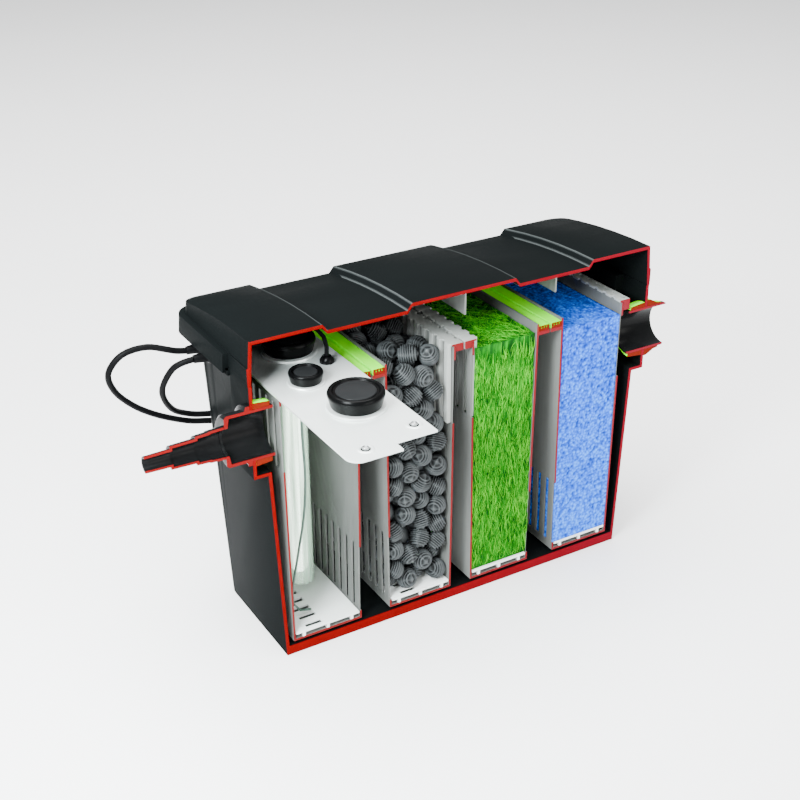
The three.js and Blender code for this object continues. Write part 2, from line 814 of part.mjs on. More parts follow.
// ---- Ports ----
{
  const unionBore = inletUnion.radius - inletUnion.wall;
  const union = turnedAlong([
    [unionBore, -inletUnion.from],
    [inletUnion.radius, -inletUnion.from],
    [inletUnion.radius, -bossFace - gap],
    [inletUnion.flangeRadius, -bossFace - gap],
    [inletUnion.flangeRadius, -bossFace - gap - inletUnion.flange],
    [inletUnion.radius, -bossFace - gap - inletUnion.flange - 2],
    [inletUnion.radius, -inletUnion.to + 3],
    [inletUnion.radius - 3, -inletUnion.to],
    [hoseSteps[0][1] - hoseWall, -inletUnion.to],
    [hoseSteps[0][1] - hoseWall, -inletUnion.to + 4],
    [unionBore, -inletUnion.to + 6],
  ]);
  place("inlet_union", halved(union), "portBlack");
  // Each step of the bore lies one wall nearer the tank than the step outside it.
  const outerLine = [];
  const innerLine = [];
  const taper = 0.8;
  hoseSteps.slice(0, -1).forEach(([out, r], index) => {
    const x = bossFace + out;
    const nextX = bossFace + hoseSteps[index + 1][0];
    const isFirst = index === 0;
    const isLast = index === hoseSteps.length - 2;
    outerLine.push([r, isFirst ? -x - gap : -x], [r - taper, -nextX]);
    innerLine.push(
      [r - hoseWall, isFirst ? -x - gap : -x + hoseWall],
      [r - hoseWall - taper, isLast ? -nextX : -nextX + hoseWall],
    );
  });
  const tail = turnedAlong([...innerLine, ...outerLine.reverse()], 36);
  place("inlet_hose_tail", halved(tail), "portBlack");
  const gasket = turnedAlong([
    [inletUnion.radius + gap, tank.wall + gap - bossFace],
    [inletUnion.radius + 8, tank.wall + gap - bossFace],
    [inletUnion.radius + 6, -inletUnion.from - 4],
    [inletUnion.radius + gap, -inletUnion.from - 4],
  ]);
  place("inlet_gasket", halved(gasket), "seal");

  const pipe = turnedAlong([
    [outletPipe.radius - outletPipe.wall, outletPipe.from],
    [outletPipe.radius, outletPipe.from],
    [outletPipe.radius, outletPipe.to - 2],
    [outletPipe.radius - 1.2, outletPipe.to],
    [outletPipe.radius - outletPipe.wall, outletPipe.to],
  ]);
  place("outlet_pipe", halved(pipe), "portBlack");
  const sealBore = outletPipe.radius + gap;
  const innerSeal = turnedAlong([
    [sealBore, outletPipe.from + 3],
    [sealBore + 4.5, outletPipe.from + 3],
    [sealBore + 7, bossFace - tank.wall - gap],
    [sealBore, bossFace - tank.wall - gap],
  ]);
  place("outlet_seal_inner", halved(innerSeal), "seal");
  const outerSeal = turnedAlong([
    [sealBore, bossFace + gap],
    [sealBore + 9.5, bossFace + gap],
    [sealBore + 9, bossFace + 5],
    [sealBore + 3, bossFace + 16],
    [sealBore + 1.5, bossFace + 24],
    [sealBore, bossFace + 24],
  ]);
  place("outlet_seal_outer", halved(outerSeal), "seal");
}

// ---- Supply leads ----
// Each leaves the end wall under the lid, loops down and round the back corner, is held by a clip,
// and drops to the ground behind the tank, where the rest is wound into a coil.
const wallAtExit = tankHalfLength(leadExits[0].z);
const wallLean = 0.9; // keeps the relief's collar off the leaning wall
const clipBack = tankHalfDepth(leadClip.z);
const clipped = clipBack + leadClip.offset;
const lowerHold = leadClip.z - leadClip.spacing / 2;
const upperHold = leadClip.z + leadClip.spacing / 2;
const onGround = lead.radius + gap;
const leadRoutes = [
  [
    [-wallAtExit - 24.5, leadExits[0].y, leadExits[0].z],
    [-wallAtExit - 34, leadExits[0].y, leadExits[0].z + 1],
    [-328, 164, 383],
    [-351, 168, 390],
    [-382, 172, 385],
    [-399, 178, 362],
    [-392, 185, 334],
    [-368, 193, 304],
    [-340, 200, 281],
    [-310, 208, 262],
    [-285, 214, 249],
    [-256, 215, 241],
    [-230, clipped + 3, 236.5],
    [leadClip.x - 10, clipped, lowerHold],
    [leadClip.x + 8, clipped, lowerHold],
    [-174, clipped + 0.5, 230],
    [-162, clipped + 1.5, 214],
    [-157, clipped + 2.5, 190],
    [-156, clipped + 2.5, 140],
    [-156, clipped + 2.5, 90],
    [-156, clipped + 5, 50],
    [-156, clipped + 16, 20],
    [-156.5, clipped + 40, 5.5],
    [-157, clipped + 60, onGround],
    [-157, clipped + 78, onGround],
  ],
  [
    [-wallAtExit - 24.5, leadExits[1].y, leadExits[1].z],
    [-wallAtExit - 32, leadExits[1].y + 1, leadExits[1].z],
    [-326, 152, 361],
    [-336, 168, 330],
    [-330, 180, 306],
    [-315, 193, 283],
    [-299, 203, 270],
    [-280, 209, 260],
    [-256, 211, 253.5],
    [-230, clipped + 2, 249.5],
    [leadClip.x - 10, clipped, upperHold],
    [leadClip.x + 8, clipped, upperHold],
    [-170, clipped + 0.5, 242],
    [-153, clipped + 1.5, 226],
    [-145, clipped + 2.5, 200],
    [-143, clipped + 2.5, 150],
    [-143, clipped + 2.5, 90],
    [-141, clipped + 2.5, 50],
    [-131, clipped + 2.5, 22],
    [-110, clipped + 2.5, 7.5],
    [-84, clipped + 2.5, onGround],
    [-60, clipped + 3, onGround],
    [-38, clipped + 6.5, onGround],
    [-22, clipped + 18.5, onGround],
    [-14.5, clipped + 37, onGround],
    [-13.5, clipped + 59, onGround],
    [-13.5, clipped + 78, onGround],
  ],
];
leadRoutes.forEach((route, index) => {
  const number = index + 1;
  place("supply_lead_" + number, tubeAlong(route, lead.radius, lead.sides, 16), "leadBlack");
  const exit = leadExits[index];
  const shank = relief.holeRadius - 0.4;
  const reliefShape = turned(
    [
      [0, -8],
      [shank, -8],
      [shank, wallLean],
      [relief.collar, wallLean],
      [relief.collar, 4],
      [lead.radius + 3, 7],
      [lead.radius + 1.2, relief.length - gap],
      [0, relief.length - gap],
    ],
    20,
  );
  reliefShape.rotateZ(Math.PI / 2);
  reliefShape.translate(-tankHalfLength(exit.z), exit.y, exit.z);
  place("strain_relief_" + number, asSolid(reliefShape), "leadBlack");
  const across = coil.turnsAcross * lead.radius;
  const coilProfile = [
    [coil.meanRadius - across, gap],
    [coil.meanRadius + across, gap],
    [coil.meanRadius + across, 2 * lead.radius * coil.layers],
    [coil.meanRadius - across, 2 * lead.radius * coil.layers],
  ];
  const [coilX, coilY] = coilPlaces[index];
  place("lead_coil_" + number, turnedUp(coilProfile, coilX, coilY, 0, 24), "leadBlack");
  const plugX = coilX - plug.length / 2;
  const plugZ = plug.radius + gap;
  const plugShape = turned(
    [
      [0, 0],
      [plug.radius * 0.38, 0],
      [plug.radius * 0.48, plug.length * 0.17],
      [plug.radius * 0.92, plug.length * 0.52],
      [plug.radius, plug.length * 0.87],
      [plug.radius, plug.length],
      [0, plug.length],
    ],
    16,
  );
  plugShape.rotateZ(-Math.PI / 2);
  plugShape.translate(plugX, coilY + plug.offset, plugZ);
  const pins = [-9.5, 9.5].map((offset) => {
    const pin = new THREE.CylinderGeometry(2.4, 2.4, 20, 8);
    pin.rotateZ(Math.PI / 2);
    pin.translate(plugX + plug.length + 9, coilY + plug.offset + offset, plugZ);
    return asSolid(pin);
  });
  place("plug_" + number, add(asSolid(plugShape), ...pins), "leadBlack");
});

// Clip on the back wall for both leads
{
  const half = leadClip.length / 2;
  const tall = leadClip.height / 2;
  const depth = 2 * leadClip.offset - 1;
  const block = brick(
    leadClip.x - half,
    leadClip.x + half,
    clipBack + 0.8,
    clipBack + depth,
    leadClip.z - tall,
    leadClip.z + tall,
  );
  const channels = [lowerHold, upperHold].map((z) => {
    const channel = new THREE.CylinderGeometry(lead.radius + 1, lead.radius + 1, 80, 14);
    channel.rotateZ(Math.PI / 2);
    channel.translate(leadClip.x, clipped, z);
    return asSolid(channel);
  });
  place("lead_clip", take(block, ...channels), "leadBlack");
}

// Lead inside the housing, from the plate's gland up and over to the end wall
const leadRun = gland.x + wallAtExit - 12.5;
place(
  "lamp_lead",
  tubeAlong(
    [
      [gland.x, gland.y, plate.bottom + plate.thickness + gland.height + gap],
      [gland.x, gland.y, tank.height + 10],
      [gland.x - leadRun * 0.04, gland.y + 8, tank.height + 26],
      [gland.x - leadRun * 0.24, gland.y + 34, tank.height + 31],
      [gland.x - leadRun * 0.52, gland.y + 74, tank.height + 24],
      [gland.x - leadRun * 0.74, leadExits[0].y - 24, tank.height + 4],
      [gland.x - leadRun * 0.89, leadExits[0].y - 6, tank.height - 9],
      [gland.x - leadRun, leadExits[0].y, tank.height - 16],
    ],
    2.8,
    8,
    12,
  ),
  "leadBlack",
);

filter.position.set(0, -tankHalfDepth(0) / 2, 0);

export default filter;
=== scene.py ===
import json
import math

import bmesh
import bpy
import numpy as np
from mathutils import Matrix, Vector


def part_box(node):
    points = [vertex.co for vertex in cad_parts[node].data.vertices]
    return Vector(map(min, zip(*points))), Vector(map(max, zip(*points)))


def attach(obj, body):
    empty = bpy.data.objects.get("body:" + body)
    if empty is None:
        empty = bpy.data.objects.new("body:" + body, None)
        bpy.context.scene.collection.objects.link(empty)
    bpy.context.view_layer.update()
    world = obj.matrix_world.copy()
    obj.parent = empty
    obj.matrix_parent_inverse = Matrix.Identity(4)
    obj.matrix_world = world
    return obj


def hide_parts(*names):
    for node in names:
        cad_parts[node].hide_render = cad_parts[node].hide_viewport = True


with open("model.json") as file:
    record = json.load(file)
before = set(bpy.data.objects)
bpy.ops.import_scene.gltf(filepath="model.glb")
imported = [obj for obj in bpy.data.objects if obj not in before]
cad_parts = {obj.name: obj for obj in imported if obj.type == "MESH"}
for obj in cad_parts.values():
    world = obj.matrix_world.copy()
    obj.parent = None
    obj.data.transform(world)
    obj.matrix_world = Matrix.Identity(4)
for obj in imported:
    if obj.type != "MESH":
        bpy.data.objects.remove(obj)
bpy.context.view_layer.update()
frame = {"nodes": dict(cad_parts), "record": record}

mm = 0.001
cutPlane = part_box("tank")[0].y  # the unit is cut open at this Y
rng = np.random.default_rng(7)

cameraView = {
    "turn": -30.39,  # degrees round the object
    "rise": 27.31,  # degrees above the horizon
    "tilt": -0.4,
    "aim": (-0.02886, 0.10984 + cutPlane, 0.25709),
    "distance": 1.79477,
    "lens": 60.56,
    "sensor": 36,
    "nearest": 0.05,
    "farthest": 40,
}


def makeCamera():
    a = math.radians(cameraView["turn"])
    e = math.radians(cameraView["rise"])
    r = math.radians(cameraView["tilt"])
    back = Vector((math.sin(a) * math.cos(e), -math.cos(a) * math.cos(e), math.sin(e)))
    flatRight = Vector((math.cos(a), math.sin(a), 0))
    steepUp = back.cross(flatRight)
    right = flatRight * math.cos(r) + steepUp * math.sin(r)
    up = steepUp * math.cos(r) - flatRight * math.sin(r)
    camera = bpy.data.objects.new("camera", bpy.data.cameras.new("camera"))
    bpy.context.collection.objects.link(camera)
    place = Vector(cameraView["aim"]) + back * cameraView["distance"]
    camera.matrix_world = Matrix(
        (
            (right.x, up.x, back.x, place.x),
            (right.y, up.y, back.y, place.y),
            (right.z, up.z, back.z, place.z),
            (0, 0, 0, 1),
        )
    )
    camera.data.lens = cameraView["lens"]
    camera.data.sensor_width = cameraView["sensor"]
    camera.data.clip_start = cameraView["nearest"]
    camera.data.clip_end = cameraView["farthest"]
    bpy.context.scene.camera = camera


makeCamera()
print("camera ready")


# a socket that can be used in arithmetic: each operator adds one Math node
class Signal:
    def __init__(self, bench, socket):
        self.bench = bench
        self.socket = socket

    def pair(self, operation, first, second):
        return self.bench.add("ShaderNodeMath", {"operation": operation}, {0: first, 1: second})

    def __add__(self, other):
        return self.pair("ADD", self, other)

    def __radd__(self, other):
        return self.pair("ADD", other, self)

    def __sub__(self, other):
        return self.pair("SUBTRACT", self, other)

    def __rsub__(self, other):
        return self.pair("SUBTRACT", other, self)

    def __mul__(self, other):
        return self.pair("MULTIPLY", self, other)

    def __truediv__(self, other):
        return self.pair("DIVIDE", self, other)

    def __lt__(self, other):
        return self.pair("LESS_THAN", self, other)

    def __gt__(self, other):
        return self.pair("GREATER_THAN", self, other)

    def clamped(self):
        return self.bench.add("ShaderNodeClamp", {}, {0: self, 1: 0.0, 2: 1.0})


# one material: fixed numbers go on the shader's sockets, what varies is linked
class Finish:
    def __init__(self, name, **fixed):
        self.material = bpy.data.materials.new(name)
        self.material.use_nodes = True
        self.tree = self.material.node_tree
        self.shader = self.tree.nodes["Principled BSDF"]
        for socket, value in fixed.items():
            self.shader.inputs[socket.replace("_", " ")].default_value = value

    def add(self, kind, settings, inputs, output=0):
        node = self.tree.nodes.new(kind)
        for key, value in settings.items():
            if key == "stops":
                ramp = node.color_ramp
                while len(ramp.elements) < len(value):
                    ramp.elements.new(0.5)
                for element, (position, colour) in zip(ramp.elements, value):
                    element.position = position
                    element.color = colour
            else:
                setattr(node, key, value)
        for key, value in inputs.items():
            if isinstance(value, Signal):
                self.tree.links.new(value.socket, node.inputs[key])
            else:
                node.inputs[key].default_value = value
        return Signal(self, node.outputs[output])

    def where(self):
        return self.add("ShaderNodeTexCoord", {}, {}, "Object")

    def stretched(self, scale):
        return self.add("ShaderNodeMapping", {}, {"Vector": self.where(), "Scale": scale})

    def axis(self, letter):
        return self.add("ShaderNodeSeparateXYZ", {}, {0: self.where()}, letter)

    def noise(self, scale, detail=3.0, vector=None):
        inputs = {"Scale": scale, "Detail": detail, "W": 0.0, "Vector": vector or self.where()}
        return self.add("ShaderNodeTexNoise", {"noise_dimensions": "4D"}, inputs, "Fac")

    def cells(self, scale):
        inputs = {"Scale": scale, "Vector": self.where()}
        return self.add("ShaderNodeTexVoronoi", {"feature": "F1"}, inputs, "Distance")

    def attribute(self, name):
        return self.add("ShaderNodeAttribute", {"attribute_name": name}, {}, "Fac")

    def colour(self, *rgb):
        return (rgb[0], rgb[1], rgb[2], 1.0)

    def blend(self, factor, first, second):
        settings = {"data_type": "RGBA", "blend_type": "MIX", "clamp_factor": True}
        return self.add("ShaderNodeMix", settings, {0: factor, 6: first, 7: second}, 2)

    def ramp(self, signal, stops):
        full = [(at, (*rgb, 1.0)) for at, rgb in stops]
        return self.add("ShaderNodeValToRGB", {"stops": full}, {0: signal}, "Color")

    def bump(self, height, distance, strength=1.0):
        inputs = {"Height": height, "Distance": distance, "Strength": strength}
        self.send("Normal", self.add("ShaderNodeBump", {}, inputs, "Normal"))

    def absolute(self, signal):
        return self.add("ShaderNodeMath", {"operation": "ABSOLUTE"}, {0: signal})

    def send(self, socket, signal):
        self.tree.links.new(signal.socket, self.shader.inputs[socket])

    def cutMask(self):
        return self.axis("Y") < cutPlane + sectionPaint["depth"]


# the painted section face: red at the inlet end, paler and pinker towards the outlet
sectionPaint = {
    "depth": 0.6 * mm,
    "red": (0.115, 0.0, 0.0003),
    "pink": (0.15, 0.0035, 0.014),
    "worn": (0.25, 0.01, 0.01),
    "fadeStart": -0.1,
    "fadeLength": 0.5,
}


def paintCut(finish, body):
    along = ((finish.axis("X") - sectionPaint["fadeStart"]) / sectionPaint["fadeLength"]).clamped()
    speck = finish.noise(60, 2)
    red, pink, worn = (finish.colour(*sectionPaint[key]) for key in ("red", "pink", "worn"))
    paint = finish.blend(speck * 0.25, finish.blend(along, red, pink), worn)
    return finish.blend(finish.cutMask(), body, paint)


# painted highlights: the roof's steps are drawn paler along their edges, as far back as the roof is flat
paintedStepHighlights = {
    "edges": (0.0752, 0.0818, 0.1897, 0.1963),  # from the middle
    "above": 0.425,
    "back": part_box("lid")[1].y - 0.012,
    "width": 1.6 * mm,
}


# moulded polyethylene: fine pebble grain, cloudy tone, painted highlights along the roof's steps
def shellPlastic():
    f = Finish("shellPlastic", IOR=1.5, Specular_IOR_Level=0.004)
    cloud = f.noise(7, 4)
    grain = f.noise(1500, 2)
    tone = f.blend(cloud, f.colour(0.0015, 0.002, 0.0021), f.colour(0.0038, 0.0049, 0.005))
    fleck = f.blend(grain * 0.25, tone, f.colour(0.0065, 0.008, 0.0082))
    across = f.absolute(f.axis("X"))
    highlightZone = (f.axis("Z") > paintedStepHighlights["above"]) * (f.axis("Y") < paintedStepHighlights["back"])
    # each paler line along a step is a painted highlight where the step's edge catches the light
    for edge in paintedStepHighlights["edges"]:
        offset = f.absolute(across - edge) / paintedStepHighlights["width"]
        line = (1.0 - offset).clamped() * highlightZone * (0.35 + cloud * 0.4)
        fleck = f.blend(line, fleck, f.colour(0.075, 0.085, 0.085))
    f.send("Base Color", paintCut(f, fleck))
    f.send("Roughness", 0.3 + cloud * 0.12 + grain * 0.08)
    f.bump(f.noise(900, 3) + f.noise(120, 2) * 0.6, 0.0004, 0.35)
    return f.material


# grey moulded boxes: satin, faint vertical draw marks from the mould
def boxPlastic(name, light):
    f = Finish(name, IOR=1.48, Specular_IOR_Level=0.1)
    draw = f.noise(40, 3, vector=f.stretched((6, 6, 0.25)))
    cloud = f.noise(11, 3)
    dark = f.colour(0.075 * light, 0.08 * light, 0.076 * light)
    pale = f.colour(0.15 * light, 0.158 * light, 0.149 * light)
    tone = f.blend(cloud * 0.6 + draw * 0.4, dark, pale)
    f.send("Base Color", paintCut(f, tone))
    f.send("Roughness", 0.36 + draw * 0.2)
    f.bump(f.noise(1100, 2), 0.0002, 0.25)
    return f.material


# white plastic: slightly yellowed in patches, fine scratches, damp film
def whitePlastic():
    f = Finish("whitePlastic", IOR=1.47)
    film = f.noise(14, 4)
    tone = f.blend(film, f.colour(0.66, 0.71, 0.69), f.colour(0.86, 0.89, 0.87))
    f.send("Base Color", tone)
    f.send("Roughness", 0.3 + film * 0.25)
    f.bump(f.noise(700, 3), 0.0002, 0.25)
    return f.material


# soft sealing rubber, very bright green with a painted glow, dull where it is cut
def glowingSealRubber():
    # painted glow: the rubber emits a little light though it is no lamp
    f = Finish("glowingSealRubber", Emission_Strength=0.12, Specular_IOR_Level=0.03)
    patch = f.noise(30, 3)
    tone = f.blend(patch, f.colour(0.13, 0.78, 0.0), f.colour(0.24, 0.98, 0.01))
    worn = f.blend(f.noise(260, 2) * 0.3, tone, f.colour(0.09, 0.5, 0.0))
    mask = f.cutMask()
    rust = f.blend(f.noise(420, 2), f.colour(0.075, 0.001, 0.0005), f.colour(0.15, 0.012, 0.001))
    f.send("Base Color", f.blend(mask, worn, rust))
    # the painted glow is green on the rubber and dark red on the cut face
    f.send("Emission Color", f.blend(mask, f.colour(0.16, 0.95, 0.0), f.colour(0.1, 0.01, 0)))
    f.send("Roughness", 0.35 + patch * 0.25)
    f.bump(f.noise(500, 2), 0.0003, 0.3)
    return f.material


# bead-blasted stainless sheet: long rolling marks, tiny pits, soft smears
def stainlessSheet():
    f = Finish("stainlessSheet", Metallic=0.55)
    rolled = f.noise(60, 4, vector=f.stretched((9, 0.5, 9)))
    blast = f.noise(2200, 2)
    smear = f.noise(9, 3)
    tone = f.blend(smear * 0.5 + rolled * 0.5, f.colour(0.66, 0.72, 0.7), f.colour(0.86, 0.91, 0.89))
    f.send("Base Color", tone)
    f.send("Roughness", 0.3 + smear * 0.14 + rolled * 0.1)
    f.bump(blast + rolled * 0.6, 0.00015, 0.35)
    return f.material


# moulded black caps and fittings: satin with finger marks
def blackFitting(name, gloss, tone, cut):
    f = Finish(name, IOR=1.5, Specular_IOR_Level=0.05)
    smudge = f.noise(45, 4)
    deep = f.colour(tone * 0.7, tone * 0.75, tone * 0.8)
    body = f.blend(smudge, deep, f.colour(tone * 1.3, tone * 1.4, tone * 1.45))
    f.send("Base Color", paintCut(f, body) if cut else body)
    f.send("Roughness", gloss + smudge * 0.16)
    f.bump(f.noise(1300, 2), 0.00015, 0.2)
    return f.material


# screw heads: darker than the sheet, turned rings, brighter where a driver has slipped
def screwSteel():
    f = Finish("screwSteel", Metallic=0.9)
    turned = f.noise(500, 2)
    f.send("Base Color", f.blend(turned, f.colour(0.18, 0.19, 0.19), f.colour(0.5, 0.52, 0.52)))
    f.send("Roughness", 0.24 + turned * 0.2)
    f.bump(turned, 0.0001, 0.3)
    return f.material


# black rubber, dusty where it has been handled
def leadRubber():
    f = Finish("leadRubber", IOR=1.5, Specular_IOR_Level=0.03)
    scuff = f.noise(80, 4)
    clean = f.colour(0.0012, 0.0013, 0.0014)
    f.send("Base Color", f.blend(scuff, clean, f.colour(0.005, 0.005, 0.0055)))
    f.send("Roughness", 0.3 + scuff * 0.25)
    f.bump(f.noise(900, 2), 0.0002, 0.2)
    return f.material


# dark green vinyl, clouded
def tubeVinyl():
    f = Finish("tubeVinyl", IOR=1.45)
    cloud = f.noise(60, 3)
    f.send("Base Color", f.blend(cloud, f.colour(0.02, 0.05, 0.035), f.colour(0.05, 0.1, 0.075)))
    f.send("Roughness", 0.25 + cloud * 0.2)
    return f.material


# clear glass with upright lime-green streaks, which are painted reflections
def quartzGlass():
    f = Finish("quartzGlass", IOR=1.46)
    streak = f.noise(34, 3, vector=f.stretched((5, 5, 0.12)))
    band = ((streak - 0.4) * 5).clamped()
    f.send("Base Color", f.blend(band, f.colour(0.92, 1.0, 0.94), f.colour(0.42, 0.62, 0.48)))
    f.send("Roughness", 0.04 + streak * 0.08)
    f.send("Alpha", 0.16 + band * 0.5)
    return f.material


# the lit lamp, slightly green in places
def lampGlow():
    f = Finish("lampGlow", Roughness=0.3, Emission_Strength=4.6)
    shade = f.noise(26, 2, vector=f.stretched((5, 5, 0.1)))
    f.send("Base Color", f.blend(shade, f.colour(0.9, 0.96, 0.9), f.colour(1, 1, 1)))
    f.send("Emission Color", f.blend(shade, f.colour(0.62, 0.86, 0.6), f.colour(1.0, 1.0, 0.98)))
    return f.material


# black plastic: pale grey on the fin ridges as painted highlight, near-black between the fins as painted
# shade, with some dust
def ballPlastic():
    f = Finish("ballPlastic", IOR=1.5, Specular_IOR_Level=0.12)
    ridge = f.attribute("ridge")
    dust = f.noise(160, 3)
    deep = f.colour(0.0006, 0.0008, 0.0009)
    # the pale colour on the ridges is a painted highlight, the deep colour between the fins a painted
    # shade
    tone = f.blend(ridge * 0.85 + dust * 0.15, deep, f.colour(0.085, 0.095, 0.098))
    f.send("Base Color", tone)
    f.send("Roughness", 0.45 - ridge * 0.18 + dust * 0.1)
    f.bump(f.noise(900, 2), 0.0002, 0.3)
    return f.material


# green fibre: dark between the strokes as painted shade, yellow-green at their tips as painted highlight
def matFibre():
    f = Finish("matFibre", Specular_IOR_Level=0.12)
    shade = f.attribute("shade")
    patch = f.noise(22, 4)
    fine = f.noise(420, 3)
    mix = (shade * 0.7 + patch * 0.2 + fine * 0.15).clamped()
    tone = f.ramp(mix, [(0.15, (0.0, 0.01, 0.0)), (0.42, (0.001, 0.075, 0.002)),
                        (0.68, (0.005, 0.26, 0.003)), (1.0, (0.11, 0.56, 0.01))])
    f.send("Base Color", tone)
    f.send("Roughness", 0.7 + fine * 0.25)
    f.bump(fine, 0.0006, 0.5)
    return f.material


# blue foam: pale walls round deep blue pits darkened as painted shade, darker towards the top as painted
# shadow under the lid, paler towards the foot
def foamCells():
    f = Finish("foamCells", Specular_IOR_Level=0.12)
    pit = f.attribute("pit")
    fine = f.cells(240)
    patch = f.noise(30, 3)
    # painted shadow: darker above 0.32 m where the lid shades the foam, paler below
    low = (0.32 - f.axis("Z")) * 0.35
    mix = (pit * 0.55 + fine * 0.5 + patch * 0.16 - 0.12 - low).clamped()
    tone = f.ramp(mix, [(0.05, (0.035, 0.25, 0.9)), (0.28, (0.008, 0.11, 0.68)),
                        (0.55, (0.001, 0.035, 0.32)), (1.0, (0.0, 0.006, 0.08))])
    f.send("Base Color", tone)
    f.send("Roughness", 0.65 + fine * 0.3)
    f.bump(fine, 0.0005, 0.5)
    return f.material


finishes = {
    "shell": shellPlastic(),
    "box": boxPlastic("boxPlastic", 1.0),
    # the lamp box's plastic is a slightly darker copy of the box plastic: painted shade that offsets the
    # lamp's glow on its walls
    "lampBoxShaded": boxPlastic("lampBoxPlastic", 0.95),
    "comb": boxPlastic("combPlastic", 2.6),
    "white": whitePlastic(),
    "seal": glowingSealRubber(),
    "steel": stainlessSheet(),
    "cap": blackFitting("capPlastic", 0.16, 0.0016, False),
    "capDisc": blackFitting("capDiscPlastic", 0.26, 0.009, False),
    "port": blackFitting("portPlastic", 0.15, 0.0045, True),
    "screw": screwSteel(),
    "lead": leadRubber(),
    "tube": tubeVinyl(),
    "quartz": quartzGlass(),
    "lamp": lampGlow(),
    "ball": ballPlastic(),
    "mat": matFibre(),
    "foam": foamCells(),
}
print("finishes ready")

bodyOf = {node: body for body, nodes in frame["record"]["behaviour"]["bodies"].items() for node in nodes}
slotOf = {entry["node"]: entry["material_slot"] for entry in frame["record"]["subparts"]}


def settle(piece, body, nodes=()):
    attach(piece, body)
    if nodes:
        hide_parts(*nodes)


def newMesh(name, points, faces, material, smooth=True):
    mesh = bpy.data.meshes.new(name)
    mesh.from_pydata([tuple(p) for p in points], [], [tuple(f) for f in faces])
    mesh.materials.append(material)
    mesh.polygons.foreach_set("use_smooth", [smooth] * len(mesh.polygons))
    mesh.update()
    piece = bpy.data.objects.new(name, mesh)
    bpy.context.collection.objects.link(piece)
    return piece


# joins points that lie together and, where asked, turns every face outwards
def cleanMesh(mesh, joined=0, outwards=False):
    shape = bmesh.new()
    shape.from_mesh(mesh)
    if joined:
        bmesh.ops.remove_doubles(shape, verts=shape.verts, dist=joined)
    if outwards:
        bmesh.ops.recalc_face_normals(shape, faces=shape.faces)
    shape.to_mesh(mesh)
    shape.free()


def markPoints(piece, name, values):
    mark = piece.data.attributes.new(name, "FLOAT", "POINT")
    mark.data.foreach_set("value", values.astype(np.float32))


# faces between neighbouring rings, each of so many points
def ringFaces(rings, around):
    i, j = np.meshgrid(np.arange(rings - 1), np.arange(around), indexing="ij")
    after = (j + 1) % around
    corners = [i * around + j, i * around + after, (i + 1) * around + after, (i + 1) * around + j]
    return np.stack(corners, -1).reshape(-1, 4)


# a merged copy of a CAD piece whose edges are rounded
def softCopy(node, finish, width, segments=2):
    mesh = frame["nodes"][node].data.copy()
    mesh.name = node + "Soft"
    shape = bmesh.new()
    shape.from_mesh(mesh)
    bmesh.ops.remove_doubles(shape, verts=shape.verts, dist=0.01 * mm)
    bmesh.ops.dissolve_limit(
        shape, angle_limit=math.radians(0.6), verts=shape.verts, edges=shape.edges
    )
    shape.to_mesh(mesh)
    shape.free()
    mesh.materials.clear()
    mesh.materials.append(finishes[finish])
    mesh.polygons.foreach_set("use_smooth", [True] * len(mesh.polygons))
    mesh.update()
    piece = bpy.data.objects.new(node + "Soft", mesh)
    bpy.context.collection.objects.link(piece)
    bevel = piece.modifiers.new("edges", "BEVEL")
    bevel.width = width
    bevel.segments = segments
    bevel.limit_method = "ANGLE"
    bevel.angle_limit = math.radians(38)
    bevel.use_clamp_overlap = True
    bevel.harden_normals = True
    settle(piece, bodyOf[node], [node])
    return piece


# both supply leads
leads = {
    "diameter": 8 * mm,
    "length": 5.0,
    "turnPitch": 8.25 * mm,  # between turns beside each other
    "layerPitch": 8.2 * mm,  # between layers
    "turnsPerLayer": 3,
    "layers": 4,
    "climb": 0.35,  # share of a turn spent stepping up a layer
    "pointsPerTurn": 16,
    "floor": 4.3 * mm,  # height of a middle line lying on the floor
    "exitGap": 0.8 * mm,
    "exits": [(0.164, 0.375), (0.142, 0.372)],  # behind the cut and up
}
leadExits = [
    (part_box(f"strain_relief_{index + 1}")[0].x - leads["exitGap"], deep + cutPlane, height)
    for index, (deep, height) in enumerate(leads["exits"])
]


# points in millimetres from the cut plane, measured along the tank, across it and up
def routeOf(points):
    spots = np.array(points, float) * mm
    spots[:, 1] += cutPlane
    return spots


clipLow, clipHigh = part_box("lead_clip")
clip = ((clipLow.y + clipHigh.y) / 2 - cutPlane) / mm + 0.1
leadRoutes = [
    routeOf([
        (-328, 164, 383), (-351, 168, 390), (-382, 172, 385), (-399, 178, 362), (-392, 185, 334),
        (-368, 193, 304), (-340, 200, 281), (-310, 208, 262), (-285, 214, 249), (-256, 215, 241),
        (-230, clip + 3, 236.5), (-208, clip, 235.5), (-190, clip, 235.5), (-174, clip + 0.5, 230),
        (-162, clip + 1.5, 214), (-157, clip + 2.5, 190), (-156, clip + 2.5, 140), (-156, clip + 2.5, 90),
        (-156, clip + 5, 50), (-156, clip + 16, 20), (-156.5, clip + 40, 5.5), (-157, clip + 60, 4.3),
    ]),
    routeOf([
        (-326, 152, 361), (-336, 168, 330), (-330, 180, 306), (-315, 193, 283), (-299, 203, 270),
        (-280, 209, 260), (-256, 211, 253.5), (-230, clip + 2, 249.5), (-208, clip, 248.5),
        (-190, clip, 248.5), (-170, clip + 0.5, 242), (-153, clip + 1.5, 226), (-145, clip + 2.5, 200),
        (-143, clip + 2.5, 150), (-143, clip + 2.5, 90), (-141, clip + 2.5, 50), (-131, clip + 2.5, 22),
        (-110, clip + 2.5, 7.5), (-84, clip + 2.5, 4.3), (-60, clip + 3, 4.3), (-38, clip + 6.5, 4.3),
        (-22, clip + 18.5, 4.3), (-14.5, clip + 37, 4.3), (-13.5, clip + 59, 4.3),
    ]),
]


def lengthOf(points):
    return float(np.linalg.norm(np.diff(points, axis=0), axis=1).sum())


